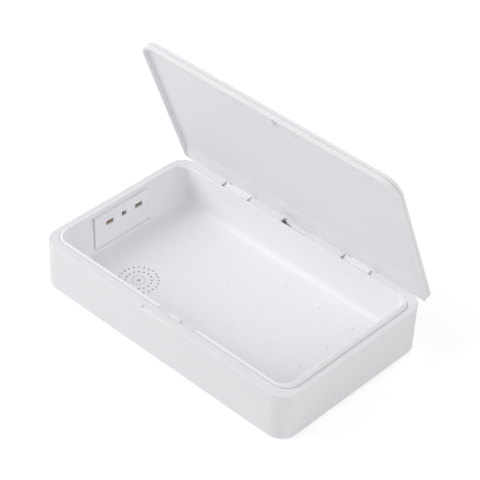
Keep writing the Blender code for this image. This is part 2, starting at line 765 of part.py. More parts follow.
def build_catch():
    """The catch in the front lip, its magnet, and the sensor that knows the lid."""
    low, high = catch_box(0)
    block("front_catch", TRAY_WHITE, low, high, CATCH_ROUNDING)
    flange_front = lip_foot_plan().front
    length, depth, height = BASE_MAGNET_SIZE
    top = DECK_UNDER - FLANGE_THICK - 3 * PIECE_GAP
    back = flange_front - PIECE_GAP
    block("base_magnet", STEEL, (CATCH_PLACE - length / 2, back - depth, top - height),
          (CATCH_PLACE + length / 2, back, top))


def build_lamps():
    """The lamps behind the front wall, with their windows, board and sensor."""
    middle = CASE_BOTTOM + LAMP_HEIGHT
    wall = lamp_wall_middle()
    lamp_length, lamp_depth, lamp_height = LAMP_SIZE
    board_length, board_depth, board_height = LAMP_BOARD_SIZE
    lamp_back = wall - TRAY_WALL / 2 - PIECE_GAP
    board_back = lamp_back - lamp_depth - PIECE_GAP
    for number, x in enumerate(lamp_places(), 1):
        turned(f"uv_window_{number}", WINDOW_CLEAR,
               ((WINDOW_RADIUS, -WINDOW_THICK / 2), (WINDOW_RADIUS, WINDOW_THICK / 2)),
               (x, wall, middle), ALONG_Y)
        centred_block(f"uv_led_{number}", LAMP_YELLOW, (x, lamp_back - lamp_depth / 2, middle), LAMP_SIZE)
    centred_block("uv_board", BOARD_GREEN, (0, board_back - board_depth / 2, middle), LAMP_BOARD_SIZE)
    sensor_back = board_back - board_depth - PIECE_GAP
    centred_block("lid_sensor", SOCKET_BLACK,
                  (SENSOR_PLACE, sensor_back - SENSOR_SIZE[1] / 2, middle), SENSOR_SIZE)


def build_underside():
    """The bottom cover with its feet and screws, the scent well and the main board."""
    plan = grown(case_plan(), -CASE_DRAFT - CASE_WALL - PIECE_GAP)
    cover = lofted("bottom_cover", SHELL_WHITE, [(plan, CASE_BOTTOM), (plan, COVER_TOP)])
    well_top = FLOOR_TOP - TRAY_BOTTOM - PIECE_GAP
    cap_hole = CAP_RADIUS + PIECE_GAP
    well = turned("cover_well", SHELL_WHITE,
                  ((cap_hole + WELL_WALL, COVER_TOP - ROOT), (cap_hole + WELL_WALL, well_top),
                   (cap_hole, well_top), (cap_hole, COVER_TOP - ROOT)),
                  (GRILLE_X, GRILLE_Y, 0), ring=True)
    join(cover, well)
    board_x, board_y = MAIN_BOARD_PLACE
    length, depth, thick = MAIN_BOARD_SIZE
    reach_x = length / 2 - BOARD_POST_INSET
    reach_y = depth / 2 - BOARD_POST_INSET
    post_top = COVER_TOP + BOARD_POST_HEIGHT
    board_posts = [(board_x + x, board_y + y, BOARD_POST_RADIUS)
                   for x in (-reach_x, reach_x) for y in (-reach_y, reach_y)]
    join(cover, rods("cover_board_posts", SHELL_WHITE, board_posts, COVER_TOP - ROOT, post_top,
                     SMALL_ROUND_STEPS))
    cut(cover, rods("cover_cap_hole", SHELL_WHITE, [(GRILLE_X, GRILLE_Y, cap_hole)],
                    CASE_BOTTOM - OVERRUN, COVER_TOP + ROOT, ROUND_STEPS))
    cut(cover, rods("cover_foot_seats", SHELL_WHITE,
                    [(x, y, FOOT_RADIUS + PIECE_GAP) for x, y in foot_places()],
                    CASE_BOTTOM - OVERRUN, CASE_BOTTOM + FOOT_SINK + PIECE_GAP, ROUND_STEPS))
    head_seat = CASE_BOTTOM + SCREW_HEAD_HEIGHT + 2 * PIECE_GAP
    cut(cover, rods("cover_head_seats", SHELL_WHITE,
                    [(x, y, SCREW_HEAD_RADIUS + PIECE_GAP) for x, y in screw_places()],
                    CASE_BOTTOM - OVERRUN, head_seat, SMALL_ROUND_STEPS))
    cut(cover, rods("cover_screw_holes", SHELL_WHITE,
                    [(x, y, SCREW_RADIUS + PIECE_GAP) for x, y in screw_places()],
                    CASE_BOTTOM - OVERRUN, COVER_TOP + OVERRUN, SMALL_ROUND_STEPS))

    centred_block("main_board", BOARD_GREEN,
                  (board_x, board_y, post_top + PIECE_GAP + thick / 2), MAIN_BOARD_SIZE)
    for number, (x, y) in enumerate(foot_places(), 1):
        turned(f"foot_{number}", RUBBER_GREY,
               ((FOOT_RADIUS, 0), (FOOT_RADIUS, CASE_BOTTOM + FOOT_SINK)), (x, y, 0))
    head_low = CASE_BOTTOM + PIECE_GAP
    head_top = head_low + SCREW_HEAD_HEIGHT
    for number, (x, y) in enumerate(screw_places(), 1):
        screw = turned(f"screw_{number}", STEEL,
                       ((SCREW_HEAD_RADIUS, head_low), (SCREW_HEAD_RADIUS, head_top),
                        (SCREW_RADIUS, head_top), (SCREW_RADIUS, head_low + SCREW_LENGTH)),
                       (x, y, 0), steps=SMALL_ROUND_STEPS)
        for cross, size in enumerate(((SCREW_HEAD_RADIUS, SCREW_SLOT), (SCREW_SLOT, SCREW_HEAD_RADIUS))):
            slot = block(f"screw_slot_{number}_{cross}", STEEL,
                         (x - size[0] / 2, y - size[1] / 2, head_low - OVERRUN),
                         (x + size[0] / 2, y + size[1] / 2, head_low + SCREW_HEAD_HEIGHT / 2))
            cut(screw, slot)

    pad_low = COVER_TOP + 2 * PIECE_GAP
    turned("aroma_pad", PAD_WHITE, ((PAD_RADIUS, pad_low), (PAD_RADIUS, pad_low + PAD_THICK)),
           (GRILLE_X, GRILLE_Y, 0))
    cap = turned("aroma_cap", SHELL_WHITE, ((CAP_RADIUS, CASE_BOTTOM), (CAP_RADIUS, COVER_TOP)),
                 (GRILLE_X, GRILLE_Y, 0))
    slot_length, slot_width, slot_depth = CAP_COIN_SLOT
    cut(cap, block("cap_coin_slot", SHELL_WHITE,
                   (GRILLE_X - slot_length / 2, GRILLE_Y - slot_width / 2, CASE_BOTTOM - OVERRUN),
                   (GRILLE_X + slot_length / 2, GRILLE_Y + slot_width / 2, CASE_BOTTOM + slot_depth)))


def build_inlet():
    """The flat power inlet in the back wall, with its contact tongue."""
    width, height = INLET_MOUTH
    face = CASE_BACK - CASE_DRAFT - INLET_SETBACK
    inlet = block("power_inlet", STEEL,
                  (INLET_PLACE - width / 2 - INLET_WALL, face - INLET_DEPTH,
                   INLET_HEIGHT - height / 2 - INLET_WALL),
                  (INLET_PLACE + width / 2 + INLET_WALL, face, INLET_HEIGHT + height / 2 + INLET_WALL))
    hollow = block("inlet_mouth", STEEL,
                   (INLET_PLACE - width / 2, face - INLET_DEPTH + INLET_BACK_WALL,
                    INLET_HEIGHT - height / 2),
                   (INLET_PLACE + width / 2, face + OVERRUN, INLET_HEIGHT + height / 2))
    cut(inlet, hollow)
    tongue_width, tongue_height, tongue_reach = INLET_TONGUE
    tongue_low = face - INLET_DEPTH + INLET_BACK_WALL - ROOT
    join(inlet, block("inlet_tongue", STEEL,
                      (INLET_PLACE - tongue_width / 2, tongue_low, INLET_HEIGHT - tongue_height / 2),
                      (INLET_PLACE + tongue_width / 2, tongue_low + tongue_reach,
                       INLET_HEIGHT + tongue_height / 2)))


def build_hinge():
    """Blocks and pins on the case, and the stop in the middle slot."""
    back = CASE_BACK - BLOCK_BACK_INSET
    front = back - BLOCK_DEPTH
    inside = CASE_BACK - CASE_WALL - PIECE_GAP
    shelf = SLOT_BOTTOM + PIECE_GAP
    profile = (
        (front, shelf - BLOCK_TONGUE),
        (inside, shelf - BLOCK_TONGUE),
        (inside, shelf),
        (back, shelf),
        (back, DECK_TOP - BACK_CHAMFER),
        (back - BACK_CHAMFER, DECK_TOP),
        (front, DECK_TOP),
    )
    bore = PIN_RADIUS + PIN_CLEARANCE
    pin_reach = BLOCK_LENGTH / 2 + LUG_SLOT - PIN_SHORT
    for side, place in sides():
        hinge_block = prism(f"hinge_block_{side}", BLOCK_WHITE, profile,
                            place - BLOCK_LENGTH / 2, place + BLOCK_LENGTH / 2)
        cut(hinge_block, turned(f"block_bore_{side}", BLOCK_WHITE,
                                ((bore, -BLOCK_LENGTH), (bore, BLOCK_LENGTH)),
                                (place, HINGE_Y, HINGE_Z), ALONG_X))
        turned(f"hinge_pin_{side}", STEEL, ((PIN_RADIUS, -pin_reach), (PIN_RADIUS, pin_reach)),
               (place, HINGE_Y, HINGE_Z), ALONG_X)

    stop_back = CASE_BACK - STRIP_SLOT_BACK_WALL - PIECE_GAP
    low = DECK_TOP - STRIP_SLOT_DEPTH + PIECE_GAP
    high = DECK_TOP - STOP_BELOW_DECK
    left = STRIP_SLOT_LEFT + PIECE_GAP
    right = STRIP_SLOT_RIGHT - PIECE_GAP
    bm = bmesh.new()
    corners = ((left + STOP_SLANT, low), (right, low), (right, high), (left, high))
    loops = [[bm.verts.new((x, y, z)) for x, z in corners] for y in (stop_back - STOP_THICK, stop_back)]
    skin(bm, loops, False)
    finished("lid_stop", SHELL_WHITE, bm)


def lid_plan():
    """Outer edge of the lid, about the hinge axis."""
    return Plan(-CASE_RIGHT + LID_INSET_SIDE, CASE_RIGHT - LID_INSET_SIDE, LID_FRONT,
                CASE_BACK - LID_INSET_BACK - HINGE_Y, LID_CORNER, LID_BACK_CORNER)


def lug_profile():
    """Outline of a hinge lug, as (y, z) points about the hinge axis."""
    points = []
    for step in range(SMALL_ROUND_STEPS + 1):
        angle = math.pi + math.pi * step / SMALL_ROUND_STEPS
        points.append((LUG_RADIUS * math.cos(angle), LUG_RADIUS * math.sin(angle)))
    wall = lid_plan().back
    top = FRAME_TOP - PIECE_GAP
    points += [
        (LUG_BACK, RIM_PLANE + ROOT),
        (0, top),
        (wall - LUG_INTO_LID, top),
        (wall - LUG_INTO_LID, RIM_PLANE + ROOT),
        (-LUG_RADIUS, RIM_PLANE + ROOT),
    ]
    return points


def build_lid(axis):
    """The two halves of the lid, with the lugs, boss and magnet."""
    outer = lid_plan()
    inner = grown(outer, -FRAME_RIM)
    frame = lofted("lid_frame", LID_WHITE, [
        (outer, FRAME_TOP),
        (outer, RIM_PLANE + FRAME_EDGE),
        (grown(outer, -FRAME_EDGE), RIM_PLANE),
        (grown(inner, FRAME_EDGE), RIM_PLANE),
        (inner, RIM_PLANE + FRAME_EDGE),
        (inner, PANEL_UNDER - FRAME_FILLET),
        (grown(inner, -FRAME_FILLET), PANEL_UNDER),
    ])
    profile = lug_profile()
    bore = PIN_RADIUS + PIN_CLEARANCE
    for side, place in sides():
        for end, direction in (("inner", -1), ("outer", 1)):
            near = place + direction * (BLOCK_LENGTH / 2 + PIECE_GAP)
            far = near + direction * LUG_THICK
            join(frame, prism(f"lug_{side}_{end}", LID_WHITE, profile, min(near, far), max(near, far)))
        cut(frame, turned(f"lug_bore_{side}", LID_WHITE, ((bore, -BLOCK_LENGTH), (bore, BLOCK_LENGTH)),
                          (place, 0, 0), ALONG_X))

    boss_y = LID_FRONT + BOSS_FROM_FRONT
    boss_low = PANEL_UNDER - BOSS_HEIGHT
    join(frame, turned("lid_boss", LID_WHITE,
                       ((BOSS_RADIUS, boss_low), (BOSS_RADIUS, PANEL_UNDER + ROOT)),
                       (BOSS_PLACE, boss_y, 0)))
    pocket_low = FRAME_TOP - MAGNET_CLEARANCE - LID_MAGNET_LENGTH - MAGNET_CLEARANCE
    pocket = LID_MAGNET_RADIUS + MAGNET_CLEARANCE
    cut(frame, turned("magnet_pocket", LID_WHITE,
                      ((pocket, pocket_low), (pocket, FRAME_TOP + OVERRUN)), (BOSS_PLACE, boss_y, 0)))
    magnet_low = pocket_low + MAGNET_CLEARANCE
    magnet = turned("lid_magnet", STEEL, ((LID_MAGNET_RADIUS, magnet_low),
                                          (LID_MAGNET_RADIUS, magnet_low + LID_MAGNET_LENGTH)),
                    (BOSS_PLACE, boss_y, 0), steps=SMALL_ROUND_STEPS)
    mark_length, mark_width, mark_depth = MARK_SIZE
    mark_y = LID_FRONT + MARK_FROM_FRONT
    cut(frame, block("lid_mark", LID_WHITE,
                     (MARK_PLACE - mark_length / 2, mark_y - mark_width / 2, PANEL_UNDER - OVERRUN),
                     (MARK_PLACE + mark_length / 2, mark_y + mark_width / 2, PANEL_UNDER + mark_depth)))
    low, high = catch_box(2 * PIECE_GAP)
    cut(frame, block("lid_catch_notch", LID_WHITE,
                     (low[0], low[1] - HINGE_Y, RIM_PLANE - OVERRUN),
                     (high[0], high[1] - HINGE_Y, high[2] - HINGE_Z)))

    shell = lofted("lid_cover", LID_WHITE, [
        (grown(outer, -COVER_WALL), SKIN_UNDER),
        (grown(outer, -COVER_WALL), COVER_LOW),
        (outer, COVER_LOW),
        (outer, LID_TOP - COVER_ROUNDING),
        (grown(outer, -COVER_ROUNDING / 3), LID_TOP - COVER_ROUNDING / 3),
        (grown(outer, -COVER_ROUNDING), LID_TOP),
    ])
    button_y = LID_FRONT + BUTTON_FROM_FRONT
    hole = BUTTON_RADIUS + BUTTON_CLEARANCE
    cut(shell, turned("cover_button_hole", LID_WHITE,
                      ((hole, SKIN_UNDER - OVERRUN), (hole, LID_TOP + OVERRUN)), (0, button_y, 0)))
    groove_inner = RING_INNER - PIECE_GAP
    groove_outer = RING_INNER + RING_WIDTH + PIECE_GAP
    groove_low = LID_TOP - RING_SINK - PIECE_GAP
    cut(shell, turned("cover_ring_groove", LID_WHITE,
                      ((groove_outer, groove_low), (groove_outer, LID_TOP + OVERRUN),
                       (groove_inner, LID_TOP + OVERRUN), (groove_inner, groove_low)),
                      (0, button_y, 0), ring=True))
    ring = turned("button_ring", RING_CLEAR,
                  ((RING_INNER + RING_WIDTH, LID_TOP - RING_SINK),
                   (RING_INNER + RING_WIDTH, LID_TOP + RING_STANDS),
                   (RING_INNER, LID_TOP + RING_STANDS), (RING_INNER, LID_TOP - RING_SINK)),
                  (0, button_y, 0), ring=True)
    length, depth, thick = BUTTON_BOARD_SIZE
    board = centred_block("button_board", BOARD_GREEN,
                          (0, button_y, COVER_LOW + thick / 2), (length, depth, thick))
    flange_top = SKIN_UNDER - PIECE_GAP
    button = turned("power_button", BUTTON_GREY,
                    ((BUTTON_RADIUS + BUTTON_FLANGE, flange_top - BUTTON_FLANGE_THICK),
                     (BUTTON_RADIUS + BUTTON_FLANGE, flange_top),
                     (BUTTON_RADIUS, flange_top),
                     (BUTTON_RADIUS, LID_TOP + BUTTON_STANDS - BUTTON_ROUNDING),
                     (BUTTON_RADIUS - BUTTON_ROUNDING, LID_TOP + BUTTON_STANDS)),
                    (0, button_y, 0))
    carried(axis, frame, shell, magnet, ring, board, button)


def lid_reach():
    """How far back the open lid reaches, at the rounding of its outer back edge."""
    back = lid_plan().back
    edge = ((back, LID_TOP - COVER_ROUNDING), (back - COVER_ROUNDING, LID_TOP))
    return HINGE_Y + max(y * math.cos(LID_OPEN) + z * math.sin(LID_OPEN) for y, z in edge)


def centred():
    """Move everything so that the origin is the middle of the whole footprint."""
    shift = (max(lid_reach(), CASE_BACK) - CASE_BACK) / 2
    for item in bpy.data.objects:
        if item.parent is None:
            item.location.y -= shift


def main():
    """Build every piece."""
    for item in list(bpy.data.objects):
        bpy.data.objects.remove(item)
    axis = bpy.data.objects.new("lid_axis", None)
    bpy.context.scene.collection.objects.link(axis)
    axis.location = (0, HINGE_Y, HINGE_Z)
    axis.rotation_euler = (-LID_OPEN, 0, 0)
    build_case()
    build_tray()
    build_sockets()
    build_catch()
    build_lamps()
    build_underside()
    build_inlet()
    build_hinge()
    build_lid(axis)
    centred()


main()
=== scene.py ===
"""Finished surfaces of a phone sanitizer box with its lid open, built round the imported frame.

Units are metres and +Z is up. Pieces of the case are modelled about the middle of the case
and then moved to where the frame has it. Pieces of the lid are modelled with the lid closed,
about the hinge axis, and then turned open.
"""
import json
import logging
import math
from dataclasses import dataclass, field, replace
from enum import Enum
from typing import Callable, Iterable, Iterator, Sequence

import bmesh
import bpy
from mathutils import Matrix, Quaternion, Vector


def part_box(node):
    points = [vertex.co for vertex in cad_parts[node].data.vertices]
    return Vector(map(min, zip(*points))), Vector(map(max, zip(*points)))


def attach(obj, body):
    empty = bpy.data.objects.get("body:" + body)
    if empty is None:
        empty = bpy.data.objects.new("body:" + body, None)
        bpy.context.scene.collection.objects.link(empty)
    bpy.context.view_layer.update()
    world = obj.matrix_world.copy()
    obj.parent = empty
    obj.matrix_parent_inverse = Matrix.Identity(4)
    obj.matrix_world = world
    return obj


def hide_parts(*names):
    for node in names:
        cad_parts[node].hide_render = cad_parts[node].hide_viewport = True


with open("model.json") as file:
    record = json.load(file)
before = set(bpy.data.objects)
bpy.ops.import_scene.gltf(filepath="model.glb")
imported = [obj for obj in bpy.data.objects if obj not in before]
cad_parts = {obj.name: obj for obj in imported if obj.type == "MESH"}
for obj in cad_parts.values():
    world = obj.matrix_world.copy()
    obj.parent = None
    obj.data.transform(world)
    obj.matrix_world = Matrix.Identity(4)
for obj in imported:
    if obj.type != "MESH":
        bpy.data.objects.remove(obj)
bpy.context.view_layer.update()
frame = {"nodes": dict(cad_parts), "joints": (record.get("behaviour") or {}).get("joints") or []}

LOG = logging.getLogger("sanitizer_box")

# Shared modelling values
GAP = 0.0003
OVERRUN = 0.003
ROOT = 0.0005
MERGE_DISTANCE = 0.000001
SMALLEST_RADIUS = 0.0002
CORNER_STEPS = 14
EDGE_STEPS = 5
TURN_STEPS = 64
SMALL_TURN_STEPS = 20
SHARP_ANGLE = math.radians(38)
EVEN_WEIGHT = 50
ROUND_PROFILE = 0.5
ROUND_SEGMENTS = 3

# Photograph
PHOTO_PIXELS = 480
SENSOR_WIDTH = 36.0
CAMERA_RAY, GLOSSY_RAY, TRANSMISSION_RAY = 0, 3, 6

Colour = tuple[float, float, float]
Point = tuple[float, float]
Size = tuple[float, float, float]
Level = Callable[[float, float], float]

EVEN = (1.0, 1.0, 1.0)
WHITE_LIGHT = (1.0, 1.0, 1.0, 1.0)


class Body(Enum):
    """Bodies of the frame that pieces ride on."""

    BASE = "base"
    LID = "lid"
    BUTTON = "button"


class Shaping(Enum):
    """Ways in which a tool shapes a piece."""

    CUT = "DIFFERENCE"
    JOIN = "UNION"


# Shader maths


def maths(operation: str, reflected: bool = False) -> Callable[["Flow", "Flow | float"], "Flow"]:
    """Make an operator that puts a Math node on a flow and another value.

    Args:
        operation: The node's operation.
        reflected: Whether the other value comes first.

    Returns:
        The operator.
    """
    def operator(flow: "Flow", other: "Flow | float") -> "Flow":
        """The node's result."""
        first, second = (other, flow) if reflected else (flow, other)
        return flow.paint.node("ShaderNodeMath", {"operation": operation}, {0: first, 1: second})
    return operator


@dataclass
class Flow:
    """A socket that a shader value comes out of, with maths by plain operators."""

    paint: "Paint"
    socket: bpy.types.NodeSocket

    __add__, __radd__ = maths("ADD"), maths("ADD", True)
    __sub__, __rsub__ = maths("SUBTRACT"), maths("SUBTRACT", True)
    __mul__, __rmul__ = maths("MULTIPLY"), maths("MULTIPLY", True)
    larger = maths("MAXIMUM")
    above = maths("GREATER_THAN")


class Paint:
    """The node tree of one material."""

    OBJECT_COORDINATES = 3
    MIX_SHARE, MIX_FIRST, MIX_SECOND = 0, 6, 7
    MIX_RESULT = 2

    def __init__(self, name: str, tree: bpy.types.NodeTree | None = None) -> None:
        """Start a material of this name, or work in a tree that exists."""
        self.material = None
        if tree is None:
            self.material = bpy.data.materials.new(name)
            self.material.use_nodes = True
            tree = self.material.node_tree
        self.tree = tree
        self.shader = tree.nodes.get("Principled BSDF")

    def node(self, kind: str, settings: dict | None = None, inputs: dict | None = None,
             output: int = 0) -> Flow:
        """Add a node.

        Args:
            kind: The node's type.
            settings: Values set on the node before its sockets.
            inputs: Values or flows by socket name or number.
            output: Number of the output that is wanted.

        Returns:
            The chosen output.
        """
        made = self.tree.nodes.new(kind)
        for name, value in (settings or {}).items():
            setattr(made, name, value)
        for key, value in (inputs or {}).items():
            self.feed(made.inputs[key], value)
        return Flow(self, made.outputs[output])

    def feed(self, socket: bpy.types.NodeSocket, value: "Flow | float | Sequence[float]") -> None:
        """Link a flow to a socket, or set a plain value on it."""
        if isinstance(value, Flow):
            self.tree.links.new(value.socket, socket)
        else:
            socket.default_value = value

    def place(self, stretch: Size = EVEN) -> Flow:
        """Object coordinates in metres, stretched along each axis."""
        coordinates = self.node("ShaderNodeTexCoord", output=self.OBJECT_COORDINATES)
        return self.node("ShaderNodeMapping", None, {"Vector": coordinates, "Scale": stretch})

    def noise(self, size: float, detail: float = 2.0, stretch: Size = EVEN) -> Flow:
        """Noise whose blotches measure about size."""
        return self.node("ShaderNodeTexNoise", None,
                         {"Vector": self.place(stretch), "Scale": 1 / size, "Detail": detail})

    def mixed(self, share: Flow, first: Colour | Flow, second: Colour) -> Flow:
        """A colour between two colours."""
        start = first if isinstance(first, Flow) else (*first, 1.0)
        return self.node("ShaderNodeMix", {"data_type": "RGBA"},
                         {self.MIX_SHARE: share, self.MIX_FIRST: start,
                          self.MIX_SECOND: (*second, 1.0)}, self.MIX_RESULT)

    def bump(self, height: Flow, depth: float) -> None:
        """Raise the surface by a height of the given depth."""
        self.set("Normal", self.node("ShaderNodeBump", None,
                                     {"Height": height, "Distance": depth, "Strength": 1.0}))

    def set(self, socket: str, value: "Flow | float | Sequence[float]") -> None:
        """Give one socket of the shader its value."""
        self.feed(self.shader.inputs[socket], value)


def shaded(colour: Colour, share: float) -> Colour:
    """A colour made lighter or darker by a share."""
    return tuple(min(part * (1 + share), 1.0) for part in colour)


# Finishes


@dataclass(frozen=True)
class Moulding:
    """White or tinted plastic with the fine spark grain of its mould."""

    name: str
    colour: Colour
    roughness: float
    grain: float = 0.00032
    depth: float = 0.0000035
    clouding_share: float = 0.006
    cloud: float = 0.035
    wipe_stretch: Size = (1.0, 0.3, 1.0)
    cloud_detail: float = 3.0
    roughness_spread: float = 0.05

    def material(self) -> bpy.types.Material:
        """The material, with clouded colour, uneven gloss and grain."""
        paint = Paint(self.name)
        clouds = paint.noise(self.cloud, self.cloud_detail)
        paint.set("Base Color", paint.mixed(clouds, shaded(self.colour, -self.clouding_share),
                                            shaded(self.colour, self.clouding_share)))
        grain = paint.noise(self.grain)
        wipes = paint.noise(self.cloud, stretch=self.wipe_stretch)
        spread = self.roughness_spread
        paint.set("Roughness", self.roughness - spread + wipes * spread + grain * spread)
        paint.bump(grain, self.depth)
        return paint.material


@dataclass(frozen=True)
class Grained:
    """Steel, rubber, felt, glass or a lamp's yellow field, all led by one grain."""

    name: str
    colour: Colour
    roughness: float
    grain: float
    rougher: float
    detail: float = 3.0
    stretch: Size = EVEN
    dark_share: float = 0.0
    light_share: float = 0.0
    depth: float = 0.0
    metal: float = 0.0
    clearness: float = 0.0
    glass_bending: float = 1.46

    def material(self) -> bpy.types.Material:
        """The material, clear where it has some clearness."""
        paint = Paint(self.name)
        grain = paint.noise(self.grain, self.detail, self.stretch)
        paint.set("Base Color", paint.mixed(grain, shaded(self.colour, -self.dark_share),
                                            shaded(self.colour, self.light_share)))
        paint.set("Roughness", self.roughness + grain * self.rougher)
        paint.set("Metallic", self.metal)
        if self.depth:
            paint.bump(grain, self.depth)
        if self.clearness:
            paint.set("Transmission Weight", self.clearness)
            paint.set("IOR", self.glass_bending)
        return paint.material


@dataclass(frozen=True)
class Laminate:
    """A circuit board: solder resist with lines of copper below and bright pads."""

    name: str
    resist: Colour = (0.02, 0.13, 0.06)
    copper: Colour = (0.06, 0.24, 0.10)
    pad: Colour = (0.75, 0.68, 0.48)
    track: float = 0.0018
    track_share: float = 0.55
    pad_spacing: float = 0.006
    pad_share: float = 0.12
    pad_scatter: float = 0.2
    pad_metal: float = 0.9
    pad_smoother: float = 0.15
    roughness: float = 0.42
    relief: float = 0.00003

    def material(self) -> bpy.types.Material:
        """The material, with tracks and pads."""
        paint = Paint(self.name)
        tracks = paint.node("ShaderNodeTexVoronoi", {"distance": "MANHATTAN", "feature": "F1"},
                            {"Vector": paint.place(),
                             "Scale": 1 / self.track}).above(self.track_share)
        pads = paint.node("ShaderNodeTexVoronoi", {"distance": "CHEBYCHEV"},
                          {"Vector": paint.place(), "Scale": 1 / self.pad_spacing,
                           "Randomness": self.pad_scatter})
        bare = 1 - pads.above(self.pad_share)
        green = paint.mixed(tracks, self.resist, self.copper)
        paint.set("Base Color", paint.mixed(bare, green, self.pad))
        paint.set("Metallic", bare * self.pad_metal)
        paint.set("Roughness", self.roughness - bare * self.pad_smoother)
        paint.bump(tracks + bare, self.relief)
        return paint.material


class Finishes:
    """Every finish of the box, made once and fetched by its slot."""

    ALL = (
        Moulding("shell_white", (0.845, 0.846, 0.874), 0.55),
        Moulding("tray_white", (0.885, 0.886, 0.908), 0.62, depth=0.000002),
        Moulding("lid_white", (0.865, 0.866, 0.892), 0.52),
        Moulding("block_white", (0.925, 0.925, 0.932), 0.45),
        Moulding("socket_black", (0.012, 0.012, 0.014), 0.5, clouding_share=0.1),
        Moulding("socket_blue", (0.03, 0.06, 0.12), 0.45, clouding_share=0.1),
        Moulding("tongue_brown", (0.48, 0.30, 0.08), 0.4, clouding_share=0.1),
        Moulding("button_grey", (0.60, 0.61, 0.63), 0.4),
        Laminate("board_green"),
        Grained("steel", (0.62, 0.62, 0.63), 0.26, 0.0002, 0.12, stretch=(0.05, 1.0, 1.0),
                dark_share=0.1, depth=0.000002, metal=1.0),
        Grained("rubber_grey", (0.17, 0.17, 0.18), 0.78, 0.0005, 0.15, 4.0, light_share=0.25,
                depth=0.00002),
        Grained("pad_white", (0.78, 0.76, 0.70), 0.88, 0.0004, 0.1, 6.0, (1.0, 0.3, 1.0),
                dark_share=0.15, depth=0.0001),
        Grained("lamp_yellow", (0.72, 0.56, 0.15), 0.35, 0.0002, 0.2, dark_share=0.12,
                depth=0.00001),
        Grained("window_clear", (0.86, 0.90, 0.97), 0.06, 0.004, 0.06, dark_share=0.03,
                clearness=0.85),
        Grained("ring_clear", (0.74, 0.82, 0.92), 0.22, 0.004, 0.06, dark_share=0.03,
                clearness=0.35),
    )

    def __init__(self) -> None:
        """Make every material."""
        self.made = {finish.name: finish.material() for finish in self.ALL}

    def dress(self, piece: bpy.types.Object, slot: str) -> None:
        """Give a piece one finish all over."""
        piece.data.materials.clear()
        piece.data.materials.append(self.made[slot])


# Modelling


@dataclass(frozen=True)
class Plan:
    """A rectangle with rounded corners, seen from above."""

    left: float
    right: float
    front: float
    back: float
    front_radius: float
    back_radius: float

    def grown(self, amount: float) -> "Plan":
        """The same plan with every side moved out by an amount."""
        return Plan(self.left - amount, self.right + amount, self.front - amount,
                    self.back + amount, max(self.front_radius + amount, SMALLEST_RADIUS),
                    max(self.back_radius + amount, SMALLEST_RADIUS))

    def corner(self, right: bool, back: bool) -> Size:
        """Middle and radius of one corner's rounding."""
        radius = self.back_radius if back else self.front_radius
        return (self.right - radius if right else self.left + radius,
                self.back - radius if back else self.front + radius, radius)

    def carried(self, x: float, y: float, other: "Plan") -> Point:
        """Where a point of this outline lies on another outline."""
        at = (x > (self.left + self.right) / 2, y > (self.front + self.back) / 2)
        mine_x, mine_y, mine = self.corner(*at)
        other_x, other_y, theirs = other.corner(*at)
        scale = theirs / mine
        return other_x + (x - mine_x) * scale, other_y + (y - mine_y) * scale

    def toward(self, other: "Plan", share: float) -> "Plan":
        """The plan that lies at a share of the way to another."""
        mine = vars(self).values()
        return Plan(*(start + (end - start) * share
                      for start, end in zip(mine, vars(other).values())))


def spread(edges: Iterable[bmesh.types.BMEdge], start: Plan, end: Plan,
           level: float | Level) -> None:
    """Move a loop of edges from one outline onto another.

    Args:
        edges: The loop.
        start: The outline that it lies on.
        end: The outline that it should lie on.
        level: Its new height, or a rule that gives the height at a point.
    """
    for point in {corner for edge in edges for corner in edge.verts}:
        x, y = start.carried(point.co.x, point.co.y, end)
        point.co = (x, y, level(x, y) if callable(level) else level)


def quarter(steps: int = EDGE_STEPS) -> list[Point]:
    """Sine and cosine over a quarter turn, both ends included."""
    angles = [math.pi / 2 * step / steps for step in range(steps + 1)]
    return [(math.sin(angle), math.cos(angle)) for angle in angles]


def rounding(size: float, steps: int = EDGE_STEPS) -> list[Point]:
    """Two distances over a rounded edge: one falls from its size to zero, one rises to it."""
    return [(size * (1 - sine), size * (1 - cosine)) for sine, cosine in quarter(steps)]


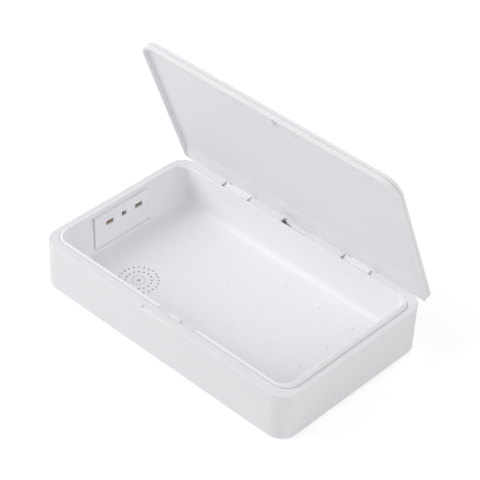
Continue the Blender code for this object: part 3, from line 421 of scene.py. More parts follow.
class Solid:
    """A mesh under construction."""

    def __init__(self) -> None:
        """Start with nothing."""
        self.bm = bmesh.new()

    def outline(self, plan: Plan) -> list[bmesh.types.BMEdge]:
        """Draw one rounded face: a square whose corners are rounded.

        Args:
            plan: The outline seen from above.

        Returns:
            The face's edges.
        """
        before = set(self.bm.faces)
        corners = bmesh.ops.create_grid(self.bm, x_segments=1, y_segments=1, size=1)["verts"]
        for corner in corners:
            corner.co.x = plan.right if corner.co.x > 0 else plan.left
            corner.co.y = plan.back if corner.co.y > 0 else plan.front
        front = [corner for corner in corners if corner.co.y < (plan.front + plan.back) / 2]
        back = [corner for corner in corners if corner not in front]
        for chosen, radius in ((front, plan.front_radius), (back, plan.back_radius)):
            bmesh.ops.bevel(self.bm, geom=chosen, offset=radius, segments=CORNER_STEPS,
                            profile=ROUND_PROFILE, affect="VERTICES", material=-1)
        return list(next(item for item in self.bm.faces if item not in before).edges)

    def loft(self, sections: Sequence[tuple[Plan, float | Level]], ring: bool = False) -> "Solid":
        """Draw a face out through outlines, closed into a ring or capped at both ends.

        Args:
            sections: Each outline with its height, or with a rule for its height.
            ring: Whether the last outline joins the first.

        Returns:
            This solid.
        """
        plan = sections[0][0]
        edges = self.outline(plan)
        first_face = edges[0].link_faces[0]
        spread(edges, plan, *sections[0])
        for following, level in list(sections[1:]) + ([sections[0]] if ring else []):
            drawn = bmesh.ops.extrude_edge_only(self.bm, edges=edges)["geom"]
            points = {item for item in drawn if isinstance(item, bmesh.types.BMVert)}
            edges = [item for item in drawn if isinstance(item, bmesh.types.BMEdge)
                     and points.issuperset(item.verts)]
            spread(edges, plan, following, level)
            plan = following
        if ring:
            bmesh.ops.delete(self.bm, geom=[first_face], context="FACES_ONLY")
        else:
            bmesh.ops.edgeloop_fill(self.bm, edges=edges)
        return self

    def round_off(self, edges: Iterable[bmesh.types.BMEdge], size: float,
                  segments: int = ROUND_SEGMENTS) -> None:
        """Round some edges of the mesh."""
        bmesh.ops.bevel(self.bm, geom=list(edges), offset=size, segments=segments,
                        profile=ROUND_PROFILE, affect="EDGES", material=-1)

    def block(self, low: Sequence[float], high: Sequence[float], rounding: float = 0.0,
              segments: int = ROUND_SEGMENTS) -> "Solid":
        """Add a box between two corners, with its edges rounded where asked."""
        made = bmesh.ops.create_cube(self.bm, size=1)["verts"]
        for point in made:
            point.co = [start if value < 0 else end
                        for value, start, end in zip(point.co, low, high)]
        if rounding:
            self.round_off({edge for point in made for edge in point.link_edges}, rounding, segments)
        return self

    def prism(self, points: Sequence[Point], start: float, end: float,
              rounding: float = 0.0) -> "Solid":
        """Add an outline of (y, z) points drawn out along X."""
        corners = [self.bm.verts.new((start, y, z)) for y, z in points]
        face = self.bm.faces.new(corners)
        drawn = bmesh.ops.extrude_face_region(self.bm, geom=[face])["geom"]
        moved = [item for item in drawn if isinstance(item, bmesh.types.BMVert)]
        bmesh.ops.translate(self.bm, vec=(end - start, 0, 0), verts=moved)
        if rounding:
            self.round_off({edge for point in corners + moved for edge in point.link_edges
                            if edge.calc_face_angle(0) > SHARP_ANGLE}, rounding)
        return self

    def turned(self, profile: Sequence[Point], place: Matrix, steps: int = TURN_STEPS,
               ring: bool = False) -> "Solid":
        """Spin (radius, height) points into a body of revolution.

        Args:
            profile: Points from the low end up, on the axis at both ends unless it is a ring.
            place: Where the body goes, with its axis turned as it should lie.
            steps: Faces round the body.
            ring: Whether the profile closes on itself.

        Returns:
            This solid.
        """
        before = set(self.bm.verts)
        points = [self.bm.verts.new((radius, 0, height)) for radius, height in profile]
        pairs = list(zip(points, points[1:]))
        if ring:
            pairs.append((points[-1], points[0]))
        edges = [self.bm.edges.new(pair) for pair in pairs]
        bmesh.ops.spin(self.bm, geom=points + edges, cent=(0, 0, 0), axis=(0, 0, 1),
                       angle=2 * math.pi, steps=steps, use_merge=True)
        made = [point for point in self.bm.verts if point not in before]
        bmesh.ops.transform(self.bm, matrix=place, verts=made)
        return self

    def piece(self, name: str) -> bpy.types.Object:
        """Close the mesh and put it in the scene."""
        bmesh.ops.remove_doubles(self.bm, verts=self.bm.verts, dist=MERGE_DISTANCE)
        bmesh.ops.recalc_face_normals(self.bm, faces=self.bm.faces)
        mesh = bpy.data.meshes.new(name)
        self.bm.to_mesh(mesh)
        self.bm.free()
        made = bpy.data.objects.new(name, mesh)
        bpy.context.scene.collection.objects.link(made)
        return made


def upright(x: float, y: float, z: float = 0.0) -> Matrix:
    """The place of a turned body that stands upright."""
    return Matrix.Translation((x, y, z))


def facing_back(x: float, y: float, z: float) -> Matrix:
    """The place of a turned body whose axis runs along Y."""
    return Matrix.Translation((x, y, z)) @ Matrix.Rotation(math.radians(-90), 4, "X")


def lying(x: float, y: float = 0.0, z: float = 0.0) -> Matrix:
    """The place of a turned body whose axis runs along X."""
    return Matrix.Translation((x, y, z)) @ Matrix.Rotation(math.radians(90), 4, "Y")


def box(name: str, low: Sequence[float], high: Sequence[float], rounding: float = 0.0,
        segments: int = ROUND_SEGMENTS) -> bpy.types.Object:
    """A block between two corners, as a piece."""
    return Solid().block(low, high, rounding, segments).piece(name)


def rod_profile(radius: float, low: float, high: float, inner: float = 0.0) -> tuple[Point, ...]:
    """Profile of a rod, or of a tube where it has an inner radius."""
    return (inner, low), (radius, low), (radius, high), (inner, high)


def rod(name: str, radius: float, low: float, high: float, place: Matrix,
        steps: int = SMALL_TURN_STEPS) -> bpy.types.Object:
    """A round rod from one height to another, as a piece."""
    return Solid().turned(rod_profile(radius, low, high), place, steps).piece(name)


def shape(piece: bpy.types.Object, way: Shaping, tools: Iterable[bpy.types.Object]) -> None:
    """Shape a piece with tools, which are used up.

    Args:
        piece: The piece that is cut or joined.
        way: Whether the tools are taken away or joined on.
        tools: Closed meshes in the same place as the piece.
    """
    tools = list(tools)
    for tool in tools:
        modifier = piece.modifiers.new(tool.name, "BOOLEAN")
        modifier.operation = way.value
        modifier.solver = "EXACT"
        modifier.object = tool
    graph = bpy.context.evaluated_depsgraph_get()
    shaped = bpy.data.meshes.new_from_object(piece.evaluated_get(graph))
    piece.modifiers.clear()
    old = piece.data
    piece.data = shaped
    bpy.data.meshes.remove(old)
    for tool in tools:
        bpy.data.meshes.remove(tool.data)


def open_edges(mesh: bpy.types.Mesh) -> int:
    """How many edges of a mesh don't join two faces."""
    bm = bmesh.new()
    bm.from_mesh(mesh)
    count = sum(1 for edge in bm.edges if len(edge.link_faces) != 2)
    bm.free()
    return count


# Places read from the frame


@dataclass(frozen=True)
class Setting:
    """Where the case and the hinge are, as the frame has them."""

    half_length: float
    half_depth: float
    bottom: float
    deck: float
    middle_y: float
    hinge: Vector
    opening_angle: float

    @classmethod
    def read(cls) -> "Setting":
        """Read the case's box and the lid's joint."""
        low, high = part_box("base_shell")
        joint = next(item for item in frame["joints"] if item["name"] == "lid_hinge")
        return cls((high.x - low.x) / 2, (high.y - low.y) / 2, low.z, high.z,
                   (high.y + low.y) / 2, Vector(joint["pos_m"]),
                   math.radians(joint["range_deg"][1]))

    def case_place(self) -> Matrix:
        """Move from the middle of the case to the frame."""
        return Matrix.Translation((0, self.middle_y, 0))

    def lid_place(self) -> Matrix:
        """Turn the closed lid open about the hinge axis."""
        return Matrix.Translation(self.hinge) @ Matrix.Rotation(-self.opening_angle, 4, "X")


class Bench:
    """Finishes pieces: shading, place, body, slot and the nodes that they stand for."""

    def __init__(self, setting: Setting, finishes: Finishes) -> None:
        """Keep the places and finishes that every piece shares."""
        self.setting = setting
        self.finishes = finishes

    def hand_over(self, piece: bpy.types.Object, body: Body, slot: str, *nodes: str) -> None:
        """Finish a piece and hand it to the frame.

        Args:
            piece: The finished shape, about the middle of the case or the hinge axis.
            body: The body that it rides on.
            slot: Its finish.
            nodes: The nodes that it stands for.
        """
        place = self.setting.case_place() if body is Body.BASE else self.setting.lid_place()
        piece.data.transform(place)
        piece.data.shade_smooth()
        piece.data.set_sharp_from_angle(angle=SHARP_ANGLE)
        even = piece.modifiers.new("even_shading", "WEIGHTED_NORMAL")
        even.keep_sharp = True
        even.weight = EVEN_WEIGHT
        self.finishes.dress(piece, slot)
        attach(piece, body.value)
        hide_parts(*nodes)
        LOG.info("%s: %d faces, %d open edges", piece.name, len(piece.data.polygons),
                 open_edges(piece.data))

    def keep(self, slot: str, *nodes: str) -> None:
        """Give nodes that stay as they are a better finish."""
        for name in nodes:
            self.finishes.dress(frame["nodes"][name], slot)
            LOG.info("%s kept, in %s", name, slot)


# Sub-assemblies


@dataclass
class Case:
    """Outer case with its deck, and the slots and scoop cut into it."""

    bench: Bench
    corner: float = 0.015
    draft: float = 0.0006
    wall: float = 0.0020
    deck_thick: float = 0.0020
    deck_edge: float = 0.0008
    opening_edge: float = 0.00025
    foot_edge: float = 0.0006
    deck_side: float = 0.0050
    deck_front: float = 0.0076
    deck_back: float = 0.0069
    opening_corner: float = 0.0133
    back_chamfer: float = 0.0007
    scoop_length: float = 0.0325
    scoop_place: float = -0.00025
    scoop_reach: float = 0.0035
    scoop_drop: float = 0.0023
    strip_slot: Point = (-0.014, 0.013)
    strip_slot_back_wall: float = 0.0012
    strip_slot_depth: float = 0.0100
    stop_thick: float = 0.0047
    stop_below_deck: float = 0.0004
    stop_slant: float = 0.0120
    stop_edge: float = 0.0002

    def __post_init__(self) -> None:
        """Work out the outlines of the deck and its opening."""
        setting = self.bench.setting
        x, y = setting.half_length, setting.half_depth
        self.deck = setting.deck
        self.bottom = setting.bottom
        self.under = self.deck - self.deck_thick
        self.plan = Plan(-x, x, -y, y, self.corner, self.corner)
        self.opening = Plan(-x + self.deck_side, x - self.deck_side, -y + self.deck_front,
                            y - self.deck_back, self.opening_corner, self.opening_corner)

    def sections(self) -> Iterator[tuple[Plan, float]]:
        """Outlines up the outside, over the deck and down the inside."""
        foot = self.plan.grown(-self.draft)
        for falling, rising in rounding(self.foot_edge):
            yield foot.grown(-falling), self.bottom + rising
        for falling, rising in rounding(self.deck_edge):
            yield self.plan.grown(-rising), self.deck - falling
        for falling, rising in rounding(self.opening_edge):
            yield self.opening.grown(falling), self.deck - rising
        yield self.opening, self.under
        yield self.plan.grown(-self.wall), self.under
        yield foot.grown(-self.wall), self.bottom

    def slope(self, name: str, start: float, end: float, low: Point, high: Point) -> bpy.types.Object:
        """A wedge over the line between two (y, z) points, which it passes at both ends."""
        along = (Vector(high) - Vector(low)).normalized() * OVERRUN
        first = Vector(low) - along
        last = Vector(high) + along
        return Solid().prism((first, last, (first.x, last.y)), start, end).piece(name)

    def tools(self, catch: "Catch", hinge: "Hinge", inlet: "Inlet") -> Iterator[bpy.types.Object]:
        """Everything that is cut out of the case."""
        plan, deck = self.plan, self.deck
        left = self.scoop_place - self.scoop_length / 2
        yield self.slope("scoop", left, left + self.scoop_length,
                         (plan.front, deck - self.scoop_drop), (plan.front + self.scoop_reach, deck))
        yield self.slope("chamfer", plan.left, plan.right, (plan.back, deck - self.back_chamfer),
                         (plan.back - self.back_chamfer, deck))
        yield box("catch_slot", *catch.box(GAP))
        front, over = self.opening.back - OVERRUN, deck + OVERRUN
        yield box("strip_slot", (self.strip_slot[0], front, deck - self.strip_slot_depth),
                  (self.strip_slot[1], plan.back - self.strip_slot_back_wall, over))
        reach = hinge.slot_reach()
        for place in hinge.places():
            yield box("lug_slot", (place - reach, front, hinge.slot_bottom()),
                      (place + reach, plan.back + OVERRUN, over))
        yield inlet.tool()

    def build(self, catch: "Catch", hinge: "Hinge", inlet: "Inlet") -> None:
        """Model the case and the stop in its middle slot."""
        shell = Solid().loft(list(self.sections()), ring=True).piece("case_shell")
        shape(shell, Shaping.CUT, self.tools(catch, hinge, inlet))
        self.bench.hand_over(shell, Body.BASE, "shell_white", "base_shell")

        back = self.plan.back - self.strip_slot_back_wall - GAP
        low = self.deck - self.strip_slot_depth + GAP
        high = self.deck - self.stop_below_deck
        left, right = self.strip_slot[0] + GAP, self.strip_slot[1] - GAP
        stop = Solid().block((left, back - self.stop_thick, low), (right, back, high))
        for point in stop.bm.verts:
            if point.co.x < 0 and point.co.y < back - self.stop_thick / 2:
                point.co.x += self.stop_slant
        stop.round_off(stop.bm.edges, self.stop_edge)
        self.bench.hand_over(stop.piece("lid_stop_plate"), Body.BASE, "shell_white", "lid_stop")


@dataclass
class Tray:
    """The bath that holds the phone, with its lip, nubs and hole pattern."""

    bench: Bench
    case: Case
    corner: float = 0.011
    lip_side: float = 0.0037
    lip_front: float = 0.0016
    rim_back: float = 0.0025
    lip_height: float = 0.0027
    lip_front_height: float = 0.0021
    lip_round_share: float = 0.73
    lip_top_share: float = 0.85
    rim_rounding: float = 0.0005
    wall: float = 0.0015
    thick: float = 0.0018
    lean: float = 0.0020
    floor: float = 0.0083
    fillet: float = 0.0050
    flange_reach: float = 0.0015
    flange_thick: float = 0.0015
    nub_radius: float = 0.0015
    nub_height: float = 0.0008
    nub_pitch: Point = (0.0335, 0.0295)
    nub_counts: tuple[int, int] = (6, 4)
    grille_place: Point = (-0.0658, -0.0306)
    grille_hole: float = 0.0014
    grille_rings: tuple = ((0.0051, 0.00065, 12), (0.0101, 0.0009, 16), (0.0152, 0.0009, 24))
    lip_gap: Point = (-0.006, 0.031)
    lamp_height: float = 0.0235
    lamp_pitch: float = 0.0480
    lamp_count: int = 4
    window_radius: float = 0.0026
    window_thick: float = 0.0012
    window_edge: float = 0.0002
    round_steps: int = 8

    def __post_init__(self) -> None:
        """Work out the tray's outlines and floor."""
        self.foot = self.case.opening.grown(-GAP)
        foot = self.foot
        self.top = Plan(foot.left + self.lip_side, foot.right - self.lip_side,
                        foot.front + self.lip_front, foot.back - self.rim_back,
                        self.corner, self.corner)
        self.floor_top = self.case.bottom + self.floor

    def lean_at(self, height: float) -> float:
        """How far the wall has leaned in at a height."""
        return self.lean * (self.case.deck - height) / (self.case.deck - self.floor_top)

    def lip_at(self, x: float, y: float) -> float:
        """Height of the lip, lower along the front and fading into the deck at the back."""
        back_share = min(max((y - self.top.back + self.corner) / self.corner, 0), 1)
        front_share = min(max((self.top.front + self.corner - y) / self.corner, 0), 1)
        height = self.lip_height + (self.lip_front_height - self.lip_height) * front_share
        return self.case.deck + height * (1 + math.cos(math.pi * back_share)) / 2

    def lip_level(self, share: float, drop: float = 0.0) -> Level:
        """Rule for the lip's height at a share of its rise, less a drop."""
        deck = self.case.deck
        return lambda x, y: deck + (self.lip_at(x, y) - deck) * share - drop

    def sections(self) -> Iterator[tuple[Plan, float | Level]]:
        """Outlines from under the floor, up the outside, over the lip and down to the floor."""
        top, foot = self.top, self.foot
        flange_top = self.case.under - GAP
        flange_low = flange_top - self.flange_thick
        for falling, rising in rounding(self.fillet + self.wall, self.round_steps):
            height = self.floor_top - self.thick + rising
            yield top.grown(self.wall - self.lean_at(height) - falling), height
        flange = Plan(foot.left - self.flange_reach, foot.right + self.flange_reach,
                      foot.front - self.flange_reach, foot.back,
                      foot.front_radius + self.flange_reach, foot.back_radius + self.flange_reach)
        yield top.grown(self.wall - self.lean_at(flange_low)), flange_low
        yield flange, flange_low
        yield flange, flange_top
        yield foot, flange_top
        for sine, cosine in quarter(self.round_steps):
            yield foot.toward(top, self.lip_round_share * (1 - cosine)), self.lip_level(sine)
        for sine, cosine in quarter():
            share = self.lip_top_share + (1 - self.lip_top_share) * sine
            yield foot.toward(top, share), self.lip_level(1, self.rim_rounding * (1 - cosine))
        for falling, rising in rounding(self.fillet, self.round_steps):
            height = self.floor_top + falling
            yield top.grown(-self.lean_at(height) - rising), height

    def nubs(self) -> bpy.types.Object:
        """Small domes that keep the phone off the floor."""
        domes = Solid()
        profile = [(0, -ROOT), (self.nub_radius, -ROOT)]
        profile += [(self.nub_radius * cosine, self.nub_height * sine) for sine, cosine in quarter()]
        columns, rows = self.nub_counts
        for column in range(columns):
            for row in range(rows):
                x = (column - (columns - 1) / 2) * self.nub_pitch[0]
                y = (row - (rows - 1) / 2) * self.nub_pitch[1]
                domes.turned(profile, upright(x, y, self.floor_top), SMALL_TURN_STEPS)
        return domes.piece("nubs")

    def grille(self) -> bpy.types.Object:
        """Rods that cut the round hole pattern."""
        rods = Solid()
        middle_x, middle_y = self.grille_place
        holes = [(middle_x, middle_y, self.grille_hole)]
        for ring, radius, count in self.grille_rings:
            for number in range(count):
                angle = 2 * math.pi * number / count
                holes.append((middle_x + ring * math.cos(angle),
                              middle_y + ring * math.sin(angle), radius))
        low = self.floor_top - self.thick - OVERRUN
        for x, y, radius in holes:
            rods.turned(rod_profile(radius, low, self.floor_top + OVERRUN), upright(x, y),
                        SMALL_TURN_STEPS)
        return rods.piece("grille")

    def lamp_places(self) -> list[Vector]:
        """Middle of each lamp window, in the front wall."""
        height = self.case.bottom + self.lamp_height
        y = self.top.front + self.lean_at(height) - self.wall / 2
        return [Vector(((number - (self.lamp_count - 1) / 2) * self.lamp_pitch, y, height))
                for number in range(self.lamp_count)]

    def tools(self, catch: "Catch", panel: "SocketPanel") -> Iterator[bpy.types.Object]:
        """Everything that is cut out of the tray."""
        yield self.grille()
        yield box("lip_gap", (self.lip_gap[0], self.foot.front - OVERRUN, self.case.deck),
                  (self.lip_gap[1], self.top.front + self.lip_front,
                   self.case.deck + self.lip_height + OVERRUN))
        yield box("catch_slot", *catch.box(GAP))
        yield panel.window()
        reach = self.wall + OVERRUN
        for place in self.lamp_places():
            yield rod("lamp_hole", self.window_radius + GAP, -reach, reach, facing_back(*place))

    def build(self, catch: "Catch", panel: "SocketPanel") -> None:
        """Model the tray and the windows of its lamps."""
        tray = Solid().loft(list(self.sections())).piece("tray_moulding")
        shape(tray, Shaping.JOIN, [self.nubs()])
        shape(tray, Shaping.CUT, self.tools(catch, panel))
        self.bench.hand_over(tray, Body.BASE, "tray_white", "tray")
        radius, edge, half = self.window_radius, self.window_edge, self.window_thick / 2
        for number, place in enumerate(self.lamp_places(), 1):
            profile = ((0, -half), (radius - edge, -half), (radius, edge - half),
                       (radius, half - edge), (radius - edge, half), (0, half))
            pane = Solid().turned(profile, facing_back(*place)).piece(f"lamp_window_{number}")
            self.bench.hand_over(pane, Body.BASE, "window_clear", f"uv_window_{number}")


@dataclass
class Catch:
    """The block in the gap of the front lip."""

    bench: Bench
    case: Case
    length: float = 0.0110
    place: float = 0.0105
    depth: float = 0.0036
    back_from_deck: float = 0.0025
    height: float = 0.0021
    root: float = 0.0040
    rounding: float = 0.0004
    rounding_steps: int = 4

    def box(self, gap: float = 0.0) -> tuple[tuple, tuple]:
        """Corners of the block, grown by a gap."""
        back = self.case.opening.front + self.back_from_deck
        low = (self.place - self.length / 2 - gap, back - self.depth - gap,
               self.case.deck - self.root - gap)
        high = (self.place + self.length / 2 + gap, back + gap, self.case.deck + self.height + gap)
        return low, high

    def build(self) -> None:
        """Model the block."""
        block = box("catch_block", *self.box(), self.rounding, self.rounding_steps)
        self.bench.hand_over(block, Body.BASE, "tray_white", "front_catch")


@dataclass
class SocketPanel:
    """The flat panel in the left wall with its three sockets."""

    bench: Bench
    case: Case
    front: float = -0.0306
    back: float = 0.0271
    low: float = 0.0097
    high: float = 0.0390
    face_from_deck: float = 0.0067
    thick: float = 0.0026
    sunk: float = 0.0008
    edge: float = 0.0003
    front_gap: float = 0.00035
    top_gap: float = 0.0001
    height: float = 0.0295
    side_places: tuple[tuple[str, float], ...] = (("left", -0.0153), ("right", 0.0154))
    side_mouth: Point = (0.0078, 0.0042)
    middle_place: float = -0.0003
    middle_mouth: Point = (0.0050, 0.0040)
    body_wall: float = 0.0010
    body_depth: float = 0.0044
    back_wall: float = 0.0008
    brim: float = 0.0020
    brim_thick: float = 0.0010
    brim_top: float = 0.0355
    tongue: Point = (0.0064, 0.0013)
    tongue_lift: float = 0.0008
    tongue_setback: float = 0.0008
    tongue_edge: float = 0.0002

    def __post_init__(self) -> None:
        """Work out the panel's planes."""
        self.face = self.case.opening.left + self.face_from_deck
        self.middle = self.case.bottom + self.height

    def window(self) -> bpy.types.Object:
        """The opening in the tray's wall that the panel fills."""
        floor = self.case.bottom
        return box("panel_window",
                   (self.case.plan.left, self.front - self.front_gap, floor + self.low - GAP),
                   (self.face + OVERRUN, self.back + GAP, floor + self.high + self.top_gap))

    def mouths(self) -> list[tuple[str, float, Point]]:
        """Name, place and mouth of each socket."""
        every = [(side, place, self.side_mouth) for side, place in self.side_places]
        return every + [("middle", self.middle_place, self.middle_mouth)]

    def around(self, name: str, place: float, size: Point, grow: float, start: float, end: float,
               edge: float = 0.0) -> bpy.types.Object:
        """A block round a socket's mouth, from one distance along X to another."""
        width, height = size
        return box(name, (start, place - width / 2 - grow, self.middle - height / 2 - grow),
                   (end, place + width / 2 + grow, self.middle + height / 2 + grow), edge)

    def build(self, tray: Tray) -> None:
        """Model the panel, its sockets and their tongues."""
        bottom = self.case.bottom
        rear = self.face - self.thick
        panel = box("panel_plate", (rear - self.sunk, self.front, bottom + self.low),
                    (self.face, self.back, bottom + self.high), self.edge)
        wall = tray.top.left - tray.wall - GAP
        behind = wall - self.brim_thick
        brim_low, brim_high = bottom + self.low + self.brim, bottom + self.brim_top
        brim = box("brim", (behind, self.front - self.brim, brim_low),
                   (wall, self.back + self.brim, brim_high))
        neck = box("neck", (behind, self.front, brim_low), (rear + ROOT, self.back, brim_high))
        shape(panel, Shaping.JOIN, [neck, brim])
        cuts = []
        for side, place, mouth in self.mouths():
            cuts += [self.around("mouth", place, mouth, 0, rear - OVERRUN, self.face + OVERRUN),
                     self.around("pocket", place, mouth, self.body_wall + GAP, behind - OVERRUN,
                                 rear + GAP)]
        shape(panel, Shaping.CUT, cuts)
        self.bench.hand_over(panel, Body.BASE, "tray_white", "socket_panel")

        inside = rear - self.body_depth + self.back_wall
        for side, place, mouth in self.mouths():
            body = self.around(f"socket_body_{side}", place, mouth, self.body_wall,
                               rear - self.body_depth, rear, self.edge)
            shape(body, Shaping.CUT,
                  [self.around("hollow", place, mouth, -GAP, inside, rear + OVERRUN)])
            slot = "socket_blue" if side == "middle" else "socket_black"
            self.bench.hand_over(body, Body.BASE, slot, f"socket_{side}")
        width, height = self.tongue
        low = self.middle + self.tongue_lift - height / 2
        for side, place in self.side_places:
            tongue = box(f"contact_tongue_{side}", (inside + GAP, place - width / 2, low),
                         (self.face - self.tongue_setback, place + width / 2, low + height),
                         self.tongue_edge)
            self.bench.hand_over(tongue, Body.BASE, "tongue_brown", f"tongue_{side}")


@dataclass
class Hinge:
    """The two bright blocks that carry the hinge pins."""

    bench: Bench
    case: Case
    length: float = 0.0235
    place: float = 0.06175
    depth: float = 0.0063
    back_inset: float = 0.0003
    tongue: float = 0.0075
    lug_slot: float = 0.0030
    lug_thick: float = 0.0025
    lug_radius: float = 0.0031
    bore: float = 0.0014
    edge: float = 0.00035

    def places(self) -> tuple[float, float]:
        """Middle of the left and the right block."""
        return -self.place, self.place

    def slot_reach(self) -> float:
        """Half the length of the cut that a block and its lugs stand in."""
        return self.length / 2 + self.lug_slot + GAP

    def slot_bottom(self) -> float:
        """Height of the bottom of that cut."""
        return self.bench.setting.hinge.z - self.lug_radius - 2 * GAP

    def build(self) -> None:
        """Model both blocks."""
        case = self.case
        back = case.plan.back - self.back_inset
        front = back - self.depth
        inside = case.plan.back - case.wall - GAP
        shelf = self.slot_bottom() + GAP
        chamfer = case.back_chamfer
        profile = ((front, shelf - self.tongue), (inside, shelf - self.tongue), (inside, shelf),
                   (back, shelf), (back, case.deck - chamfer), (back - chamfer, case.deck),
                   (front, case.deck))
        setting = self.bench.setting
        for side, place in zip(("left", "right"), self.places()):
            block = Solid().prism(profile, place - self.length / 2, place + self.length / 2,
                                  self.edge).piece(f"bright_block_{side}")
            centre = lying(place, setting.hinge.y - setting.middle_y, setting.hinge.z)
            shape(block, Shaping.CUT,
                  [rod("pin_bore", self.bore, -self.length, self.length, centre)])
            self.bench.hand_over(block, Body.BASE, "block_white", f"hinge_block_{side}")


@dataclass
class Inlet:
    """The flat power inlet in the back wall."""

    bench: Bench
    case: Case
    mouth: Point = (0.0086, 0.0030)
    end_share: float = 0.96
    wall: float = 0.0007
    edge_share: float = 1 / 3
    depth: float = 0.0055
    back_wall: float = 0.0010
    setback: float = 0.0004
    tongue: Size = (0.0060, 0.0007, 0.0030)
    tongue_edge: float = 0.0001

    def __post_init__(self) -> None:
        """Read the inlet's middle from the frame."""
        low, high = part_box("power_inlet")
        self.middle = Vector(((low.x + high.x) / 2, 0, (low.z + high.z) / 2))
        self.face = self.case.plan.back - self.case.draft - self.setback

    def rounded(self, grow: float) -> Plan:
        """Outline of the mouth, grown by an amount, before it is turned to face back."""
        width, height = self.mouth
        reach_x, reach_y = width / 2 + grow, height / 2 + grow
        radius = reach_y * self.end_share
        return Plan(-reach_x, reach_x, -reach_y, reach_y, radius, radius)

    def laid(self, solid: Solid, name: str) -> bpy.types.Object:
        """Turn a solid that was drawn upwards so that it faces back from the inlet."""
        piece = solid.piece(name)
        piece.data.transform(facing_back(self.middle.x, self.face, self.middle.z))
        return piece

    def tool(self) -> bpy.types.Object:
        """The hole in the case's back wall."""
        plan = self.rounded(self.wall + GAP)
        hole = Solid().loft([(plan, -self.case.wall - OVERRUN), (plan, OVERRUN)])
        return self.laid(hole, "inlet_hole")

    def build(self) -> None:
        """Model the inlet's shell with the tongue in it."""
        outer, inner = self.rounded(self.wall), self.rounded(0)
        edge = self.wall * self.edge_share
        sections = [(outer, -self.depth), (outer, -edge), (outer.grown(-edge), 0),
                    (inner.grown(edge), 0), (inner, -edge), (inner, self.back_wall - self.depth)]
        shell = self.laid(Solid().loft(sections), "inlet_shell")
        width, height, reach = self.tongue
        low = self.back_wall - self.depth - ROOT
        tongue = self.laid(Solid().block((-width / 2, -height / 2, low),
                                         (width / 2, height / 2, low + reach), self.tongue_edge),
                           "inlet_tongue")
        shape(shell, Shaping.JOIN, [tongue])
        self.bench.hand_over(shell, Body.BASE, "steel", "power_inlet")


@dataclass
class Feet:
    """Four rubber feet."""

    bench: Bench
    count: int = 4
    edge: float = 0.0004

    def build(self) -> None:
        """Model each foot where its node is."""
        middle_y = self.bench.setting.middle_y
        for number in range(1, self.count + 1):
            low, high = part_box(f"foot_{number}")
            radius = (high.x - low.x) / 2
            profile = [(0, low.z), *((radius - falling, low.z + rising)
                                     for falling, rising in rounding(self.edge)),
                       (radius, high.z), (0, high.z)]
            place = upright((low.x + high.x) / 2, (low.y + high.y) / 2 - middle_y)
            foot = Solid().turned(profile, place).piece(f"rubber_foot_{number}")
            self.bench.hand_over(foot, Body.BASE, "rubber_grey", f"foot_{number}")


